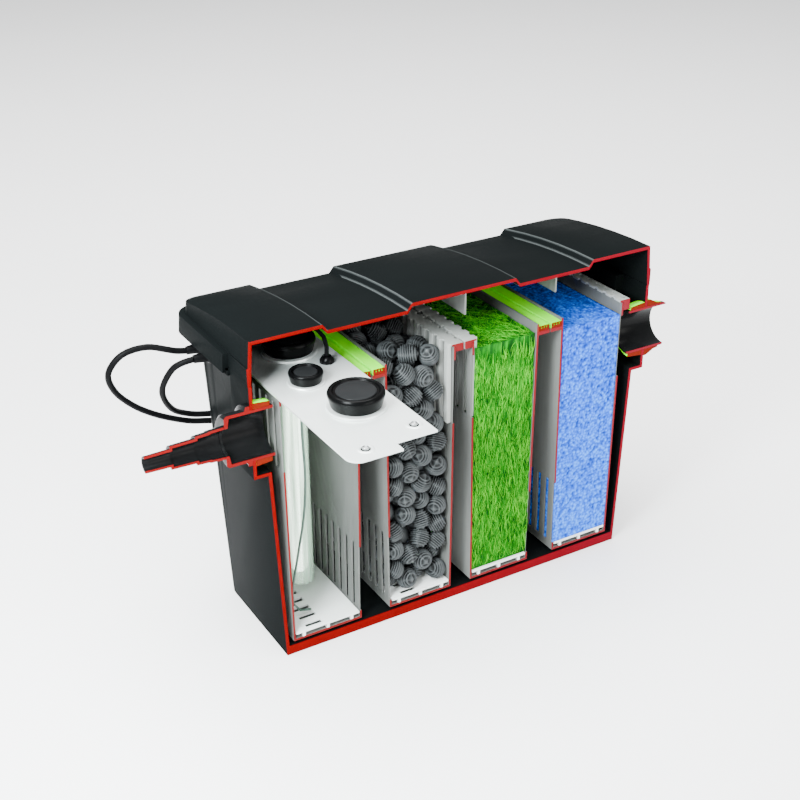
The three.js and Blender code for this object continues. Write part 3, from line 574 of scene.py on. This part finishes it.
# centripetal spline through the points, sampled evenly between them
def splineThrough(points, each=10):
    p = np.vstack([2 * points[0] - points[1], points, 2 * points[-1] - points[-2]])
    out = []
    for a, b, c, d in zip(p[:-3], p[1:-2], p[2:-1], p[3:]):
        t0 = 0.0
        t1 = t0 + np.linalg.norm(b - a) ** 0.5
        t2 = t1 + np.linalg.norm(c - b) ** 0.5
        t3 = t2 + np.linalg.norm(d - c) ** 0.5
        t = np.linspace(t1, t2, each, endpoint=False)[:, None]
        a1 = (t1 - t) / (t1 - t0) * a + (t - t0) / (t1 - t0) * b
        a2 = (t2 - t) / (t2 - t1) * b + (t - t1) / (t2 - t1) * c
        a3 = (t3 - t) / (t3 - t2) * c + (t - t2) / (t3 - t2) * d
        b1 = (t2 - t) / (t2 - t0) * a1 + (t - t0) / (t2 - t0) * a2
        b2 = (t3 - t) / (t3 - t1) * a2 + (t - t1) / (t3 - t1) * a3
        out.append((t2 - t) / (t2 - t1) * b1 + (t - t1) / (t2 - t1) * b2)
    return np.vstack(out + [points[-1:]])


# a flat spiral wound in, a step up, the next wound out, and so on, clockwise from the left
def coilPoints(centre, inner):
    radius = []
    height = []
    span = leads["turnsPerLayer"] * leads["turnPitch"]
    each = leads["pointsPerTurn"]
    for layer in range(leads["layers"]):
        share = np.arange(leads["turnsPerLayer"] * each) / (leads["turnsPerLayer"] * each)
        inward = layer % 2 == 0
        radius.append(inner + span * (1 - share if inward else share))
        height.append(np.full(len(share), layer * leads["layerPitch"]))
        if layer < leads["layers"] - 1:
            steps = int(round(leads["climb"] * each))
            rise = np.arange(steps) / steps
            radius.append(np.full(steps, inner if inward else inner + span))
            height.append((layer + rise) * leads["layerPitch"])
    radius = np.concatenate(radius)
    height = np.concatenate(height)
    # the winding ends on the left again, so its first turn starts a little early
    turn = math.pi - 2 * math.pi * (np.arange(len(radius)) / each)
    extra = (len(radius) % each) / each
    turn = turn + 2 * math.pi * extra * (1 - np.arange(len(radius)) / len(radius))
    return np.column_stack([
        centre[0] + radius * np.cos(turn),
        centre[1] + radius * np.sin(turn),
        leads["floor"] + height,
    ])


def makeLead(index):
    number = index + 1
    low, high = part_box(f"lead_coil_{number}")
    centre = (low + high) / 2
    plugLow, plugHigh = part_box(f"plug_{number}")
    tail = np.array([plugLow.x, (plugLow.y + plugHigh.y) / 2, (plugLow.z + plugHigh.z) / 2])
    exitPoint = np.array(leadExits[index])
    # straight out of the wall, easing over to where its loop begins
    first, second = leadRoutes[index][:2]
    onward = (second - exitPoint) / np.linalg.norm(second - exitPoint)
    reach = np.linalg.norm(first - exitPoint)
    easing = (exitPoint + first) / 2 + (np.array([-1, 0, 0]) - onward) * reach / 8
    route = np.vstack([exitPoint, easing, leadRoutes[index]])

    # the whole line: it leaves its last turn at the coil's left side and runs on into the plug
    def wholeLine(inner):
        wound = coilPoints(centre, inner)
        outer = centre.x - inner - leads["turnsPerLayer"] * leads["turnPitch"]
        outLeft = np.array([
            (outer, centre.y + 2 * mm, 28.9 * mm),
            (outer + 2 * mm, centre.y + 28 * mm, 28 * mm),
            (outer + 9 * mm, centre.y + 52 * mm, 25 * mm),
            (outer + 22 * mm, tail[1] - 8 * mm, 21 * mm),
            (tail[0] - 1 * mm, tail[1], tail[2]),
        ])
        return np.vstack([route, wound[2:-2], outLeft])

    lowRadius, highRadius = 26 * mm, 46 * mm
    for _ in range(30):
        inner = (lowRadius + highRadius) / 2
        whole = splineThrough(wholeLine(inner), 4)
        if lengthOf(whole) < leads["length"]:
            lowRadius = inner
        else:
            highRadius = inner
    print("lead", number, "inner turn", round(inner / mm, 2), "length", round(lengthOf(whole), 4))
    curve = bpy.data.curves.new(f"supplyLead{number}", "CURVE")
    curve.dimensions = "3D"
    curve.bevel_depth = leads["diameter"] / 2
    curve.bevel_resolution = 3
    curve.use_fill_caps = True
    spline = curve.splines.new("POLY")
    spline.points.add(len(whole) - 1)
    spline.points.foreach_set("co", np.column_stack([whole, np.ones(len(whole))]).ravel())
    spline.use_smooth = True
    curve.materials.append(finishes["lead"])
    lead = bpy.data.objects.new(f"supplyLead{number}", curve)
    bpy.context.collection.objects.link(lead)
    settle(lead, "housing", [f"supply_lead_{number}", f"lead_coil_{number}"])
    return lead, tuple(exitPoint)


for index in range(2):
    piece, start = makeLead(index)
    relief = softCopy(f"strain_relief_{index + 1}", "lead", 0.5 * mm)
    plug = softCopy(f"plug_{index + 1}", "lead", 1 * mm)
print("leads ready")


# moulded pieces, and how wide their edges are rounded
softEdges = [
    ("tank", "shell", 0.9 * mm),
    ("lid", "shell", 1.2 * mm),
    ("uv_box", "lampBoxShaded", 0.5 * mm),
    ("ball_box", "box", 0.5 * mm),
    ("mat_box", "box", 0.5 * mm),
    ("foam_box", "box", 0.5 * mm),
    ("ball_comb", "comb", 0.3 * mm),
    ("mat_comb", "comb", 0.3 * mm),
    ("weir_bar", "comb", 0.5 * mm),
    ("lid_rib_left", "comb", 0.5 * mm),
    ("lid_rib_right", "comb", 0.5 * mm),
    ("quartz_sleeve", "quartz", 0.3 * mm),
    ("uv_lamp", "lamp", 0.5 * mm),
    ("bent_tube", "tube", 0.2 * mm),
    ("lamp_lead", "lead", 0.2 * mm),
    ("lead_gland", "cap", 0.6 * mm),
    ("lead_clip", "lead", 1 * mm),
]
for node, finish, width in softEdges:
    softCopy(node, finish, width)
print("soft edges ready")


# surface of revolution about Z: radius and height down the profile, angle round it
def lathe(name, profile, centre, finish, steps, sharp=35):
    profile = np.array(profile, float)
    angle = np.linspace(0, 2 * math.pi, steps, endpoint=False)
    ring = profile[:, None, 0]
    across = ring * np.cos(angle)
    along = ring * np.sin(angle)
    height = np.repeat(profile[:, 1:2], steps, axis=1)
    points = np.stack([across, along, height], -1).reshape(-1, 3) + np.array(centre)
    piece = newMesh(name, points, ringFaces(len(profile), steps), finishes[finish])
    cleanMesh(piece.data, 0.001 * mm, True)
    piece.data.set_sharp_from_angle(angle=math.radians(sharp))
    return piece


# corner points of a profile replaced by short arcs
def rounded(corners, size, steps=4):
    corners = np.array(corners, float)
    out = [corners[0]]
    for before, corner, after in zip(corners[:-2], corners[1:-1], corners[2:]):
        back = (before - corner) / np.linalg.norm(before - corner)
        ahead = (after - corner) / np.linalg.norm(after - corner)
        shorter = min(np.linalg.norm(before - corner), np.linalg.norm(after - corner))
        reach = min(size, shorter * 0.45)
        for t in np.linspace(0, 1, steps + 1):
            out.append(corner + back * reach * (1 - t) ** 2 + ahead * reach * t ** 2)
    out.append(corners[-1])
    return out


# the ports lie along X; outlines are (x, radius) in millimetres
ports = {
    "height": (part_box("outlet_pipe")[0].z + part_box("outlet_pipe")[1].z) / 2,
    "steps": 56,
    "tailStart": -293,
    "tailWall": 2.8,
    # each step of the hose tail: where it begins, its radius there and at its end, where it ends
    "tail": [(33.3, 21, 20.2, 53), (53, 19.3, 18.5, 69), (69, 15.8, 15, 100), (100, 11.5, 10.7, 131)],
    "union": [
        (-264, 30), (-264, 33.5), (-293.3, 33.5), (-293.3, 39), (-298.3, 39), (-300.3, 33.5),
        (-323, 33.5), (-326, 30.5), (-326, 18.2), (-322, 18.2), (-320, 30),
    ],
    "gasket": [(-288.7, 33.8), (-288.7, 41.5), (-268, 39.5), (-268, 33.8)],
    "outlet": [(262, 28.5), (262, 31.5), (323, 31.5), (325, 30.3), (325, 28.5)],
    "innerSeal": [(265, 31.8), (265, 36.3), (288.7, 38.8), (288.7, 31.8)],
    "outerSeal": [(293.3, 31.8), (293.3, 41.3), (298, 40.8), (309, 34.8), (317, 33.3), (317, 31.8)],
}


# half of a turned piece: its closed outline with rounded corners, swept half a turn behind the cut
def halfTurned(node, finish, outline, size=0.6):
    corners = np.array(outline, float)
    count = len(corners)
    loop = []
    for k in range(count):
        loop += rounded([corners[k - 1], corners[k], corners[(k + 1) % count]], size, 2)[1:-1]
    loop = np.array(loop) * mm
    steps = ports["steps"]
    angle = np.linspace(-math.pi / 2, math.pi / 2, steps)
    grid = np.stack([
        np.repeat(loop[:, :1], steps, 1),
        cutPlane + loop[:, 1:] * np.cos(angle),
        ports["height"] + loop[:, 1:] * np.sin(angle),
    ], -1)
    n = len(loop)
    i, j = np.meshgrid(np.arange(n), np.arange(steps - 1), indexing="ij")
    ahead = (i + 1) % n
    faces = np.stack([i * steps + j, i * steps + j + 1, ahead * steps + j + 1, ahead * steps + j], -1)
    faces = faces.reshape(-1, 4).tolist() + [[k * steps + end for k in range(n)] for end in (0, steps - 1)]
    piece = newMesh(node + "Turned", grid.reshape(-1, 3), faces, finishes[finish])
    cleanMesh(piece.data, outwards=True)
    piece.data.set_sharp_from_angle(angle=math.radians(50))
    settle(piece, "housing", [node])


# out along the tail's steps and back inside it, a wall's thickness further in
def tailOutline():
    outside = []
    inside = []
    wall = ports["tailWall"]
    lastStep = len(ports["tail"]) - 1
    for step, (near, r0, r1, far) in enumerate(ports["tail"]):
        begin = ports["tailStart"] - near
        end = ports["tailStart"] - far
        outside += [(begin, r0), (end, r1)]
        inside += [(begin + (wall if step > 0 else 0), r0 - wall)]
        inside += [(end + (wall if step < lastStep else 0), r1 - wall)]
    return inside + outside[::-1]


halfTurned("inlet_union", "port", ports["union"])
halfTurned("inlet_hose_tail", "port", tailOutline())
halfTurned("inlet_gasket", "seal", ports["gasket"])
halfTurned("outlet_pipe", "port", ports["outlet"])
halfTurned("outlet_seal_inner", "seal", ports["innerSeal"])
halfTurned("outlet_seal_outer", "seal", ports["outerSeal"], 0.4)


# a cap is widest near its top, with a dished centre and a thin paler disc in the dish
caps = {
    "dishes": {"uv_cap_front": 0.82, "uv_cap_rear": 0.82, "drain_cap": 0.78},  # of the radius
    "foot": 0.87,
    "skirt": (0.89, 0.08),  # of the radius and of the height
    "widest": 0.78,
    "top": 0.93,
    "dishDepth": 3 * mm,
    "dishCentre": 2.6 * mm,
    "corner": 2 * mm,
    "discFoot": 2.9 * mm,
    "discSize": (0.86, 0.84),
    "discRise": (1.3 * mm, 1.7 * mm),
    "discCorner": 0.6 * mm,
}


def makeCap(node, dish):
    low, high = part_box(node)
    middle = ((low.x + high.x) / 2, (low.y + high.y) / 2, 0)
    r = (high.x - low.x) / 2
    h = high.z - low.z
    z = low.z
    skirt, skirtRise = caps["skirt"]
    corners = [
        (0, z), (r * caps["foot"], z), (r * skirt, z + h * skirtRise), (r, z + h * caps["widest"]),
        (r * caps["top"], z + h), (r * dish, z + h), (r * (dish - 0.03), z + h - caps["dishDepth"]),
        (0, z + h - caps["dishCentre"]),
    ]
    cap = lathe(node + "Turned", rounded(corners, caps["corner"], 6), middle, "cap", 96, 50)
    settle(cap, bodyOf[node], [node])
    foot = z + h - caps["discFoot"]
    wide, narrow = (r * dish * share for share in caps["discSize"])
    edgeRise, centreRise = caps["discRise"]
    disc = [(0, foot), (wide, foot), (narrow, foot + edgeRise), (0, foot + centreRise)]
    inlay = lathe(node + "Disc", rounded(disc, caps["discCorner"]), middle, "capDisc", 72)
    settle(inlay, bodyOf[node])


for node, dish in caps["dishes"].items():
    makeCap(node, dish)


# pan-head screw on a rubber washer, in a pressed dimple whose lip stands round it; each outline is
# shares of the head's radius with heights above the sheet
screws = {
    "shank": 0.38,
    "washer": [(0.4, 0.05 * mm), (1.12, 0.05 * mm), (1.1, 0.28 * mm), (0.4, 0.28 * mm), (0.4, 0.05 * mm)],
    "lip": [
        (1.2, 0.05 * mm), (2, 0.05 * mm), (1.8, 0.45 * mm), (1.5, 0.9 * mm), (1.3, 0.6 * mm),
        (1.2, 0.05 * mm),
    ],
}


def makeScrew(number):
    node = f"plate_screw_{number}"
    low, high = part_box(node)
    middle = ((low.x + high.x) / 2, (low.y + high.y) / 2, 0)
    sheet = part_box("uv_plate")[1].z
    r = (high.x - low.x) / 2
    shank = r * screws["shank"]
    head = [
        (0, low.z), (shank, low.z), (shank, sheet + 0.3 * mm), (r * 0.86, sheet + 0.3 * mm),
        (r * 0.8, high.z - 0.6 * mm), (r * 0.42, high.z), (r * 0.36, high.z - 1.3 * mm),
        (0, high.z - 1.4 * mm),
    ]
    screw = lathe(node + "Turned", rounded(head, 0.4 * mm), middle, "screw", 48)
    settle(screw, "housing", [node])
    # the rubber washer's black ring between head and lip also stands as painted shade in the dimple's gap
    washer = lathe(node + "Washer", [(r * a, sheet + b) for a, b in screws["washer"]], middle, "cap", 48)
    settle(washer, "housing")
    lip = lathe(node + "Lip", [(r * a, sheet + b) for a, b in screws["lip"]], middle, "steel", 48)
    settle(lip, "housing")


for number in (1, 2, 3, 4):
    makeScrew(number)
print("caps and screws ready")


balls = {
    "radius": 14.2 * mm,
    "count": 272,
    "fins": 9,
    "depth": 0.22,  # of the radius, between the fins
    "fall": 0.35 * mm,  # each step while falling
    "falling": 150,
    "steps": 260,
    "push": 0.36,
    "shownDepth": 32 * mm,  # balls this close to the cut have their fins
    "shownTop": 9 * mm,
    "topBalls": 24,
}


# balls dropped in a box: a light pull brings them down, touching balls push each other apart, and
# the comb's teeth keep them off the right wall above its slots
def heap(low, high, teeth, teethFoot):
    r = balls["radius"]
    n = balls["count"]
    spots = low + r + rng.random((n, 3)) * (high - low - 2 * r)
    for step in range(balls["steps"]):
        spots[:, 2] -= balls["fall"] if step < balls["falling"] else 0
        for _ in range(3):
            gap = spots[:, None] - spots[None]
            far = np.linalg.norm(gap, axis=2) + np.eye(n)
            press = np.clip(2 * r - far, 0, None) * (1 - np.eye(n))
            spots += (gap / far[..., None] * press[..., None]).sum(1) * balls["push"]
            right = np.where(spots[:, 2] > teethFoot - r / 2, teeth, high[0]) - r
            spots[:, 0] = np.clip(spots[:, 0], low[0] + r, right)
            spots[:, 1:] = np.clip(spots[:, 1:], low[1:] + r, high[1:] - r)
    return spots


# radius over longitude u and latitude v: R (1 - depth (1 - fin)), where the fins are level discs
# spaced evenly along the axis and two narrow struts cross them
def ballShape(aroundSteps, upSteps, fins):
    u, v = np.meshgrid(
        np.linspace(0, 2 * math.pi, aroundSteps, endpoint=False),
        np.arcsin(np.linspace(-1, 1, upSteps)),
    )
    wave = np.cos(math.pi * fins * (np.sin(v) + 1))
    fin = np.clip(wave * 1.6 + 0.2, 0, 1)
    strut = np.abs(np.sin(2 * u)) < 0.3
    fin = np.maximum(fin, np.where(strut, 0.55, 0))
    radius = balls["radius"] * (1 - balls["depth"] * (1 - fin))
    level = radius * np.cos(v)
    points = np.stack([level * np.cos(u), level * np.sin(u), radius * np.sin(v)], -1)
    return points.reshape(-1, 3), ringFaces(*u.shape), fin.ravel()


# rotation matrices from evenly spread unit quaternions
def randomTurns(n):
    q = rng.normal(size=(n, 4))
    q /= np.linalg.norm(q, axis=1)[:, None]
    w, x, y, z = q.T
    return np.stack([
        np.stack([1 - 2 * (y * y + z * z), 2 * (x * y - z * w), 2 * (x * z + y * w)], -1),
        np.stack([2 * (x * y + z * w), 1 - 2 * (x * x + z * z), 2 * (y * z - x * w)], -1),
        np.stack([2 * (x * z - y * w), 2 * (y * z + x * w), 1 - 2 * (x * x + y * y)], -1),
    ], 1)


def copies(name, shape, spots, material):
    points, faces, ridge = shape
    turned = np.einsum("nij,kj->nki", randomTurns(len(spots)), points) + spots[:, None]
    shift = (np.arange(len(spots)) * len(points))[:, None, None]
    piece = newMesh(name, turned.reshape(-1, 3), (faces[None] + shift).reshape(-1, 4), material)
    # the fin value marks where the balls' painted highlight lies
    markPoints(piece, "ridge", np.tile(ridge, len(spots)))
    cleanMesh(piece.data, 0.002 * mm)
    return piece


packLow, packHigh = (np.array(p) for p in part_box("bio_ball_pack"))
packHigh[2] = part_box("ball_comb")[1].z
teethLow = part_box("ball_comb")[0]
spots = heap(packLow, packHigh, teethLow.x - 0.5 * mm, teethLow.z)
top = np.sort(spots[:, 2])[-balls["topBalls"]]
print("heap from", round(spots[:, 2].min(), 3), "to", round(spots[:, 2].max(), 3))
near = (spots[:, 1] < packLow[1] + balls["shownDepth"]) | (spots[:, 2] > top - balls["shownTop"])
shape = ballShape(20, balls["fins"] * 4 + 1, balls["fins"])
shown = copies("bioBallsFront", shape, spots[near], finishes["ball"])
settle(shown, "ball_insert", ["bio_ball_pack"])
hidden = copies("bioBallsBehind", ballShape(9, 6, 0), spots[~near], finishes["ball"])
settle(hidden, "ball_insert")
print("bio balls ready", int(near.sum()), "near the front")


# closed box surface from three lists of stations: points, faces and each point's outward direction
def boxSurface(xs, ys, zs):
    points = []
    faces = []
    outward = []

    def side(a, b, fixed, order, flip, direction):
        start = sum(len(p) for p in points)
        first, second = np.meshgrid(a, b, indexing="ij")
        held = np.full(first.shape, fixed)
        grid = [None, None, None]
        for slotIndex, part in zip(order, (first, second, held)):
            grid[slotIndex] = part
        points.append(np.stack(grid, -1).reshape(-1, 3))
        outward.append(np.tile(direction, (first.size, 1)))
        i, j = np.meshgrid(np.arange(len(a) - 1), np.arange(len(b) - 1), indexing="ij")
        n = len(b)
        quad = np.stack([i * n + j, (i + 1) * n + j, (i + 1) * n + j + 1, i * n + j + 1], -1)
        quad = quad.reshape(-1, 4)
        faces.append(start + (quad[:, ::-1] if flip else quad))

    side(xs, zs, ys[0], (0, 2, 1), False, (0, -1, 0))
    side(xs, zs, ys[-1], (0, 2, 1), True, (0, 1, 0))
    side(xs, ys, zs[-1], (0, 1, 2), False, (0, 0, 1))
    side(xs, ys, zs[0], (0, 1, 2), True, (0, 0, -1))
    side(ys, zs, xs[-1], (1, 2, 0), False, (1, 0, 0))
    side(ys, zs, xs[0], (1, 2, 0), True, (-1, 0, 0))
    return np.vstack(points), np.vstack(faces), np.vstack(outward).astype(float)


# distance to the nearest of one jittered point per grid cell
def cellDistance(points, size, seed):
    local = points / size
    base = np.floor(local).astype(int)
    best = np.full(len(points), 9.0)
    for dx in (-1, 0, 1):
        for dy in (-1, 0, 1):
            for dz in (-1, 0, 1):
                cell = base + (dx, dy, dz)
                key = cell[:, 0] * 127.1 + cell[:, 1] * 311.7 + cell[:, 2] * 74.7 + seed
                jitter = np.stack([np.sin(key + k * 19.19) * 43758.5453 % 1 for k in range(3)], -1)
                best = np.minimum(best, np.linalg.norm(cell + 0.15 + 0.7 * jitter - local, axis=1))
    return best


def finishBlock(name, points, faces, attribute, values, finish):
    piece = newMesh(name, points, faces, finishes[finish])
    markPoints(piece, attribute, values)
    cleanMesh(piece.data, 0.02 * mm)
    return piece


def stations(low, high, step):
    return np.linspace(low, high, max(3, int(round((high - low) / step)) + 1))


# how far inside a block's edges each point lies, from 0 at an edge to 1 a given way in
def insideEdges(points, grid, reach):
    low = np.array([line[0] for line in grid])
    high = np.array([line[-1] for line in grid])
    edge = np.minimum(points - low, high - points)
    return np.clip(np.sort(edge, axis=1)[:, 1] / reach, 0, 1)


blocks = {
    "lean": 1.2 * mm,  # clearance to the box's leaning walls
    "fine": 1.7 * mm,  # spacing of the points
    "coarse": 2.6 * mm,
}


# open-cell foam: every cell is a pit below the surface, pressed in by up to its depth
foamPits = {"wide": 6.2 * mm, "small": 4 * mm, "depth": 3 * mm, "swell": 0.5 * mm, "edge": 5 * mm}


def makeFoam():
    low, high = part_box("blue_foam")
    lean = blocks["lean"]
    xs = stations(low[0] + lean, high[0] - lean, blocks["fine"])
    ys = stations(low[1], high[1] - lean, blocks["coarse"])
    zs = stations(low[2], high[2], blocks["fine"])
    points, faces, outward = boxSurface(xs, ys, zs)
    wide = cellDistance(points, foamPits["wide"], 3.1)
    small = cellDistance(points, foamPits["small"], 8.4)
    pit = np.clip(1 - wide / 0.62, 0, 1) * 0.65 + np.clip(1 - small / 0.6, 0, 1) * 0.45
    x, y, z = points.T
    swell = np.sin(x * 61 + z * 23) * np.sin(z * 47 - y * 31) + 1
    pressed = (pit * foamPits["depth"] + swell * foamPits["swell"])
    pressed *= insideEdges(points, (xs, ys, zs), foamPits["edge"])
    points = points - outward * pressed[:, None]
    # the pit value also darkens the pits as painted shade
    foam = finishBlock("filterFoam", points, faces, "pit", np.clip(pit, 0, 1), "foam")
    settle(foam, "foam_insert", ["blue_foam"])


# felted mat: long strokes standing up the block
matStrokes = {
    "front": 2 * mm,  # room left for the fibres
    "drawn": 0.16,
    "broad": 5.5 * mm,
    "thin": 2.8 * mm,
    "depth": 3.2 * mm,
    "edge": 4 * mm,
}


def makeMat():
    low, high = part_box("green_mat")
    lean = blocks["lean"]
    xs = stations(low[0] + lean, high[0] - lean, blocks["fine"])
    ys = stations(low[1] + matStrokes["front"], high[1] - lean, blocks["coarse"])
    zs = stations(low[2], high[2] - matStrokes["front"], blocks["coarse"])
    points, faces, outward = boxSurface(xs, ys, zs)
    drawn = points * np.array([1, 1, matStrokes["drawn"]])
    stroke = cellDistance(drawn, matStrokes["broad"], 5.7)
    thin = cellDistance(drawn, matStrokes["thin"], 2.2)
    shade = np.clip(1.1 - stroke * 0.85 - thin * 0.35, 0, 1)
    inner = insideEdges(points, (xs, ys, zs), matStrokes["edge"])
    # shade is painted light: low where the strokes are pressed in (painted shade), high on the raised
    # strokes (painted highlight)
    points = points - outward * ((1 - shade) * matStrokes["depth"] * inner)[:, None]
    block = finishBlock("filterMat", points, faces, "shade", shade * 0.75, "mat")
    settle(block, "mat_insert", ["green_mat"])


# loose fibres on the mat's front and top: three-sided tubes along p(t) = start + rise t + sway
# sin(pi t), thinner at both ends
fibres = {"count": 7000, "onFront": 0.72, "thick": 0.42 * mm, "stations": 5, "sides": 3}


def makeFibres():
    low, high = (np.array(corner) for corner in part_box("green_mat"))
    count = fibres["count"]
    front = rng.random(count) < fibres["onFront"]
    room = high - low
    start = low + rng.random((count, 3)) * room * [0.96, 1, 0.92] + [0.02 * room[0], 0, 0]
    start[front, 1] = low[1] + rng.uniform(0.8, 2.4, int(front.sum())) * mm
    start[~front, 2] = high[2] - rng.uniform(0.6, 2.6, int((~front).sum())) * mm
    length = rng.uniform(6, 22, count) * mm
    heading = rng.normal(0, 0.24, (count, 3)) + np.where(front[:, None], [0, 0, 1], [0, 1, 0.0])
    heading[front, 1] *= 0.02
    heading[~front, 2] *= 0.1
    heading[~front, 0] *= 4
    sway = rng.normal(0, 1.6, (count, 3)) * mm
    sway[front, 1] = -np.abs(sway[front, 1]) * 0.25
    sway[~front, 2] = np.abs(sway[~front, 2]) * 0.3
    t = np.linspace(0, 1, fibres["stations"])
    line = start[:, None] + heading[:, None] * (length[:, None] * t)[..., None]
    line = line + sway[:, None] * np.sin(math.pi * t)[None, :, None]
    bottom = low + [1.4 * mm, 0.3 * mm, 1 * mm]
    line = np.clip(line, bottom, high - [1.4 * mm, 1.4 * mm, 0.3 * mm])
    thick = fibres["thick"] * (1 - (2 * t - 1) ** 2 * 0.6)
    angle = np.arange(fibres["sides"]) * 2 * math.pi / fibres["sides"]
    other = np.where(front[:, None], [0, 1.0, 0], [0, 0, 1.0])[:, None]
    ring = np.array([1.0, 0, 0]) * np.cos(angle)[:, None] + other * np.sin(angle)[:, None]
    tube = line[:, :, None] + ring[:, None] * thick[None, :, None, None]
    each = fibres["stations"] * fibres["sides"]
    faces = ringFaces(fibres["stations"], fibres["sides"]) + (np.arange(count) * each)[:, None, None]
    tone = np.repeat(np.clip(rng.normal(0.78, 0.34, count), 0.05, 1.35), each)
    piece = finishBlock("matFibres", tube.reshape(-1, 3), faces.reshape(-1, 4), "shade", tone, "mat")
    settle(piece, "mat_insert")


makeFoam()
makeMat()
makeFibres()
print("filter blocks ready")


# every CAD piece that is still shown takes the finish of its slot; the gland is whole, so unpainted
finishOfSlot = {
    "shell_black": "shell",
    "box_grey": "box",
    "grid_white": "white",
    "seal_green": "seal",
    "stainless": "steel",
    "cap_black": "cap",
    "port_black": "port",
    "quartz": "quartz",
    "lamp_white": "lamp",
    "ball_black": "ball",
    "mat_green": "mat",
    "foam_blue": "foam",
    "lead_black": "lead",
    "tube_green": "tube",
}
uncut = ("lead_gland",)
for node, piece in frame["nodes"].items():
    finish = "cap" if node in uncut else finishOfSlot[slotOf[node]]
    piece.data.materials.clear()
    piece.data.materials.append(finishes[finish])


# a large sheet of pale paper
def makeFloor():
    f = Finish("floorPaper", Roughness=0.55)
    fibre = f.noise(3, 3)
    f.send("Base Color", f.blend(fibre, f.colour(0.9, 0.905, 0.91), f.colour(0.93, 0.935, 0.94)))
    half, below = 6, -0.5 * mm
    corners = [(-half, -half, below), (half, -half, below), (half, half, below), (-half, half, below)]
    floor = newMesh("floor", corners, [(0, 1, 2, 3)], f.material, False)


def makeLight(name, place, aim, size, power, tint):
    light = bpy.data.lights.new(name, "AREA")
    light.shape = "RECTANGLE"
    light.size, light.size_y = size
    light.energy = power
    light.color = tint
    lamp = bpy.data.objects.new(name, light)
    bpy.context.collection.objects.link(lamp)
    direction = Vector(aim) - Vector(place)
    turned = direction.to_track_quat("-Z", "Y").to_matrix().to_4x4()
    lamp.matrix_world = Matrix.Translation(Vector(place)) @ turned


makeFloor()
makeLight("softTop", (-0.4, 0.1, 3.4), (0, 0.1, 0.2), (4.2, 4.2), 640, (1, 1, 1))
makeLight("leftPanel", (-0.95, -0.5, 0.95), (-0.28, 0, 0.42), (0.4, 0.4), 50, (0.92, 0.98, 1))
makeLight("frontFill", (0.8, -2.7, 0.9), (0, 0, 0.2), (1.8, 1.0), 52, (1, 0.99, 0.97))
world = bpy.data.worlds.new("studio")
world.use_nodes = True
world.node_tree.nodes["Background"].inputs["Color"].default_value = (1, 1, 1, 1)
world.node_tree.nodes["Background"].inputs["Strength"].default_value = 0.75
bpy.context.scene.world = world
print("floor and light ready")
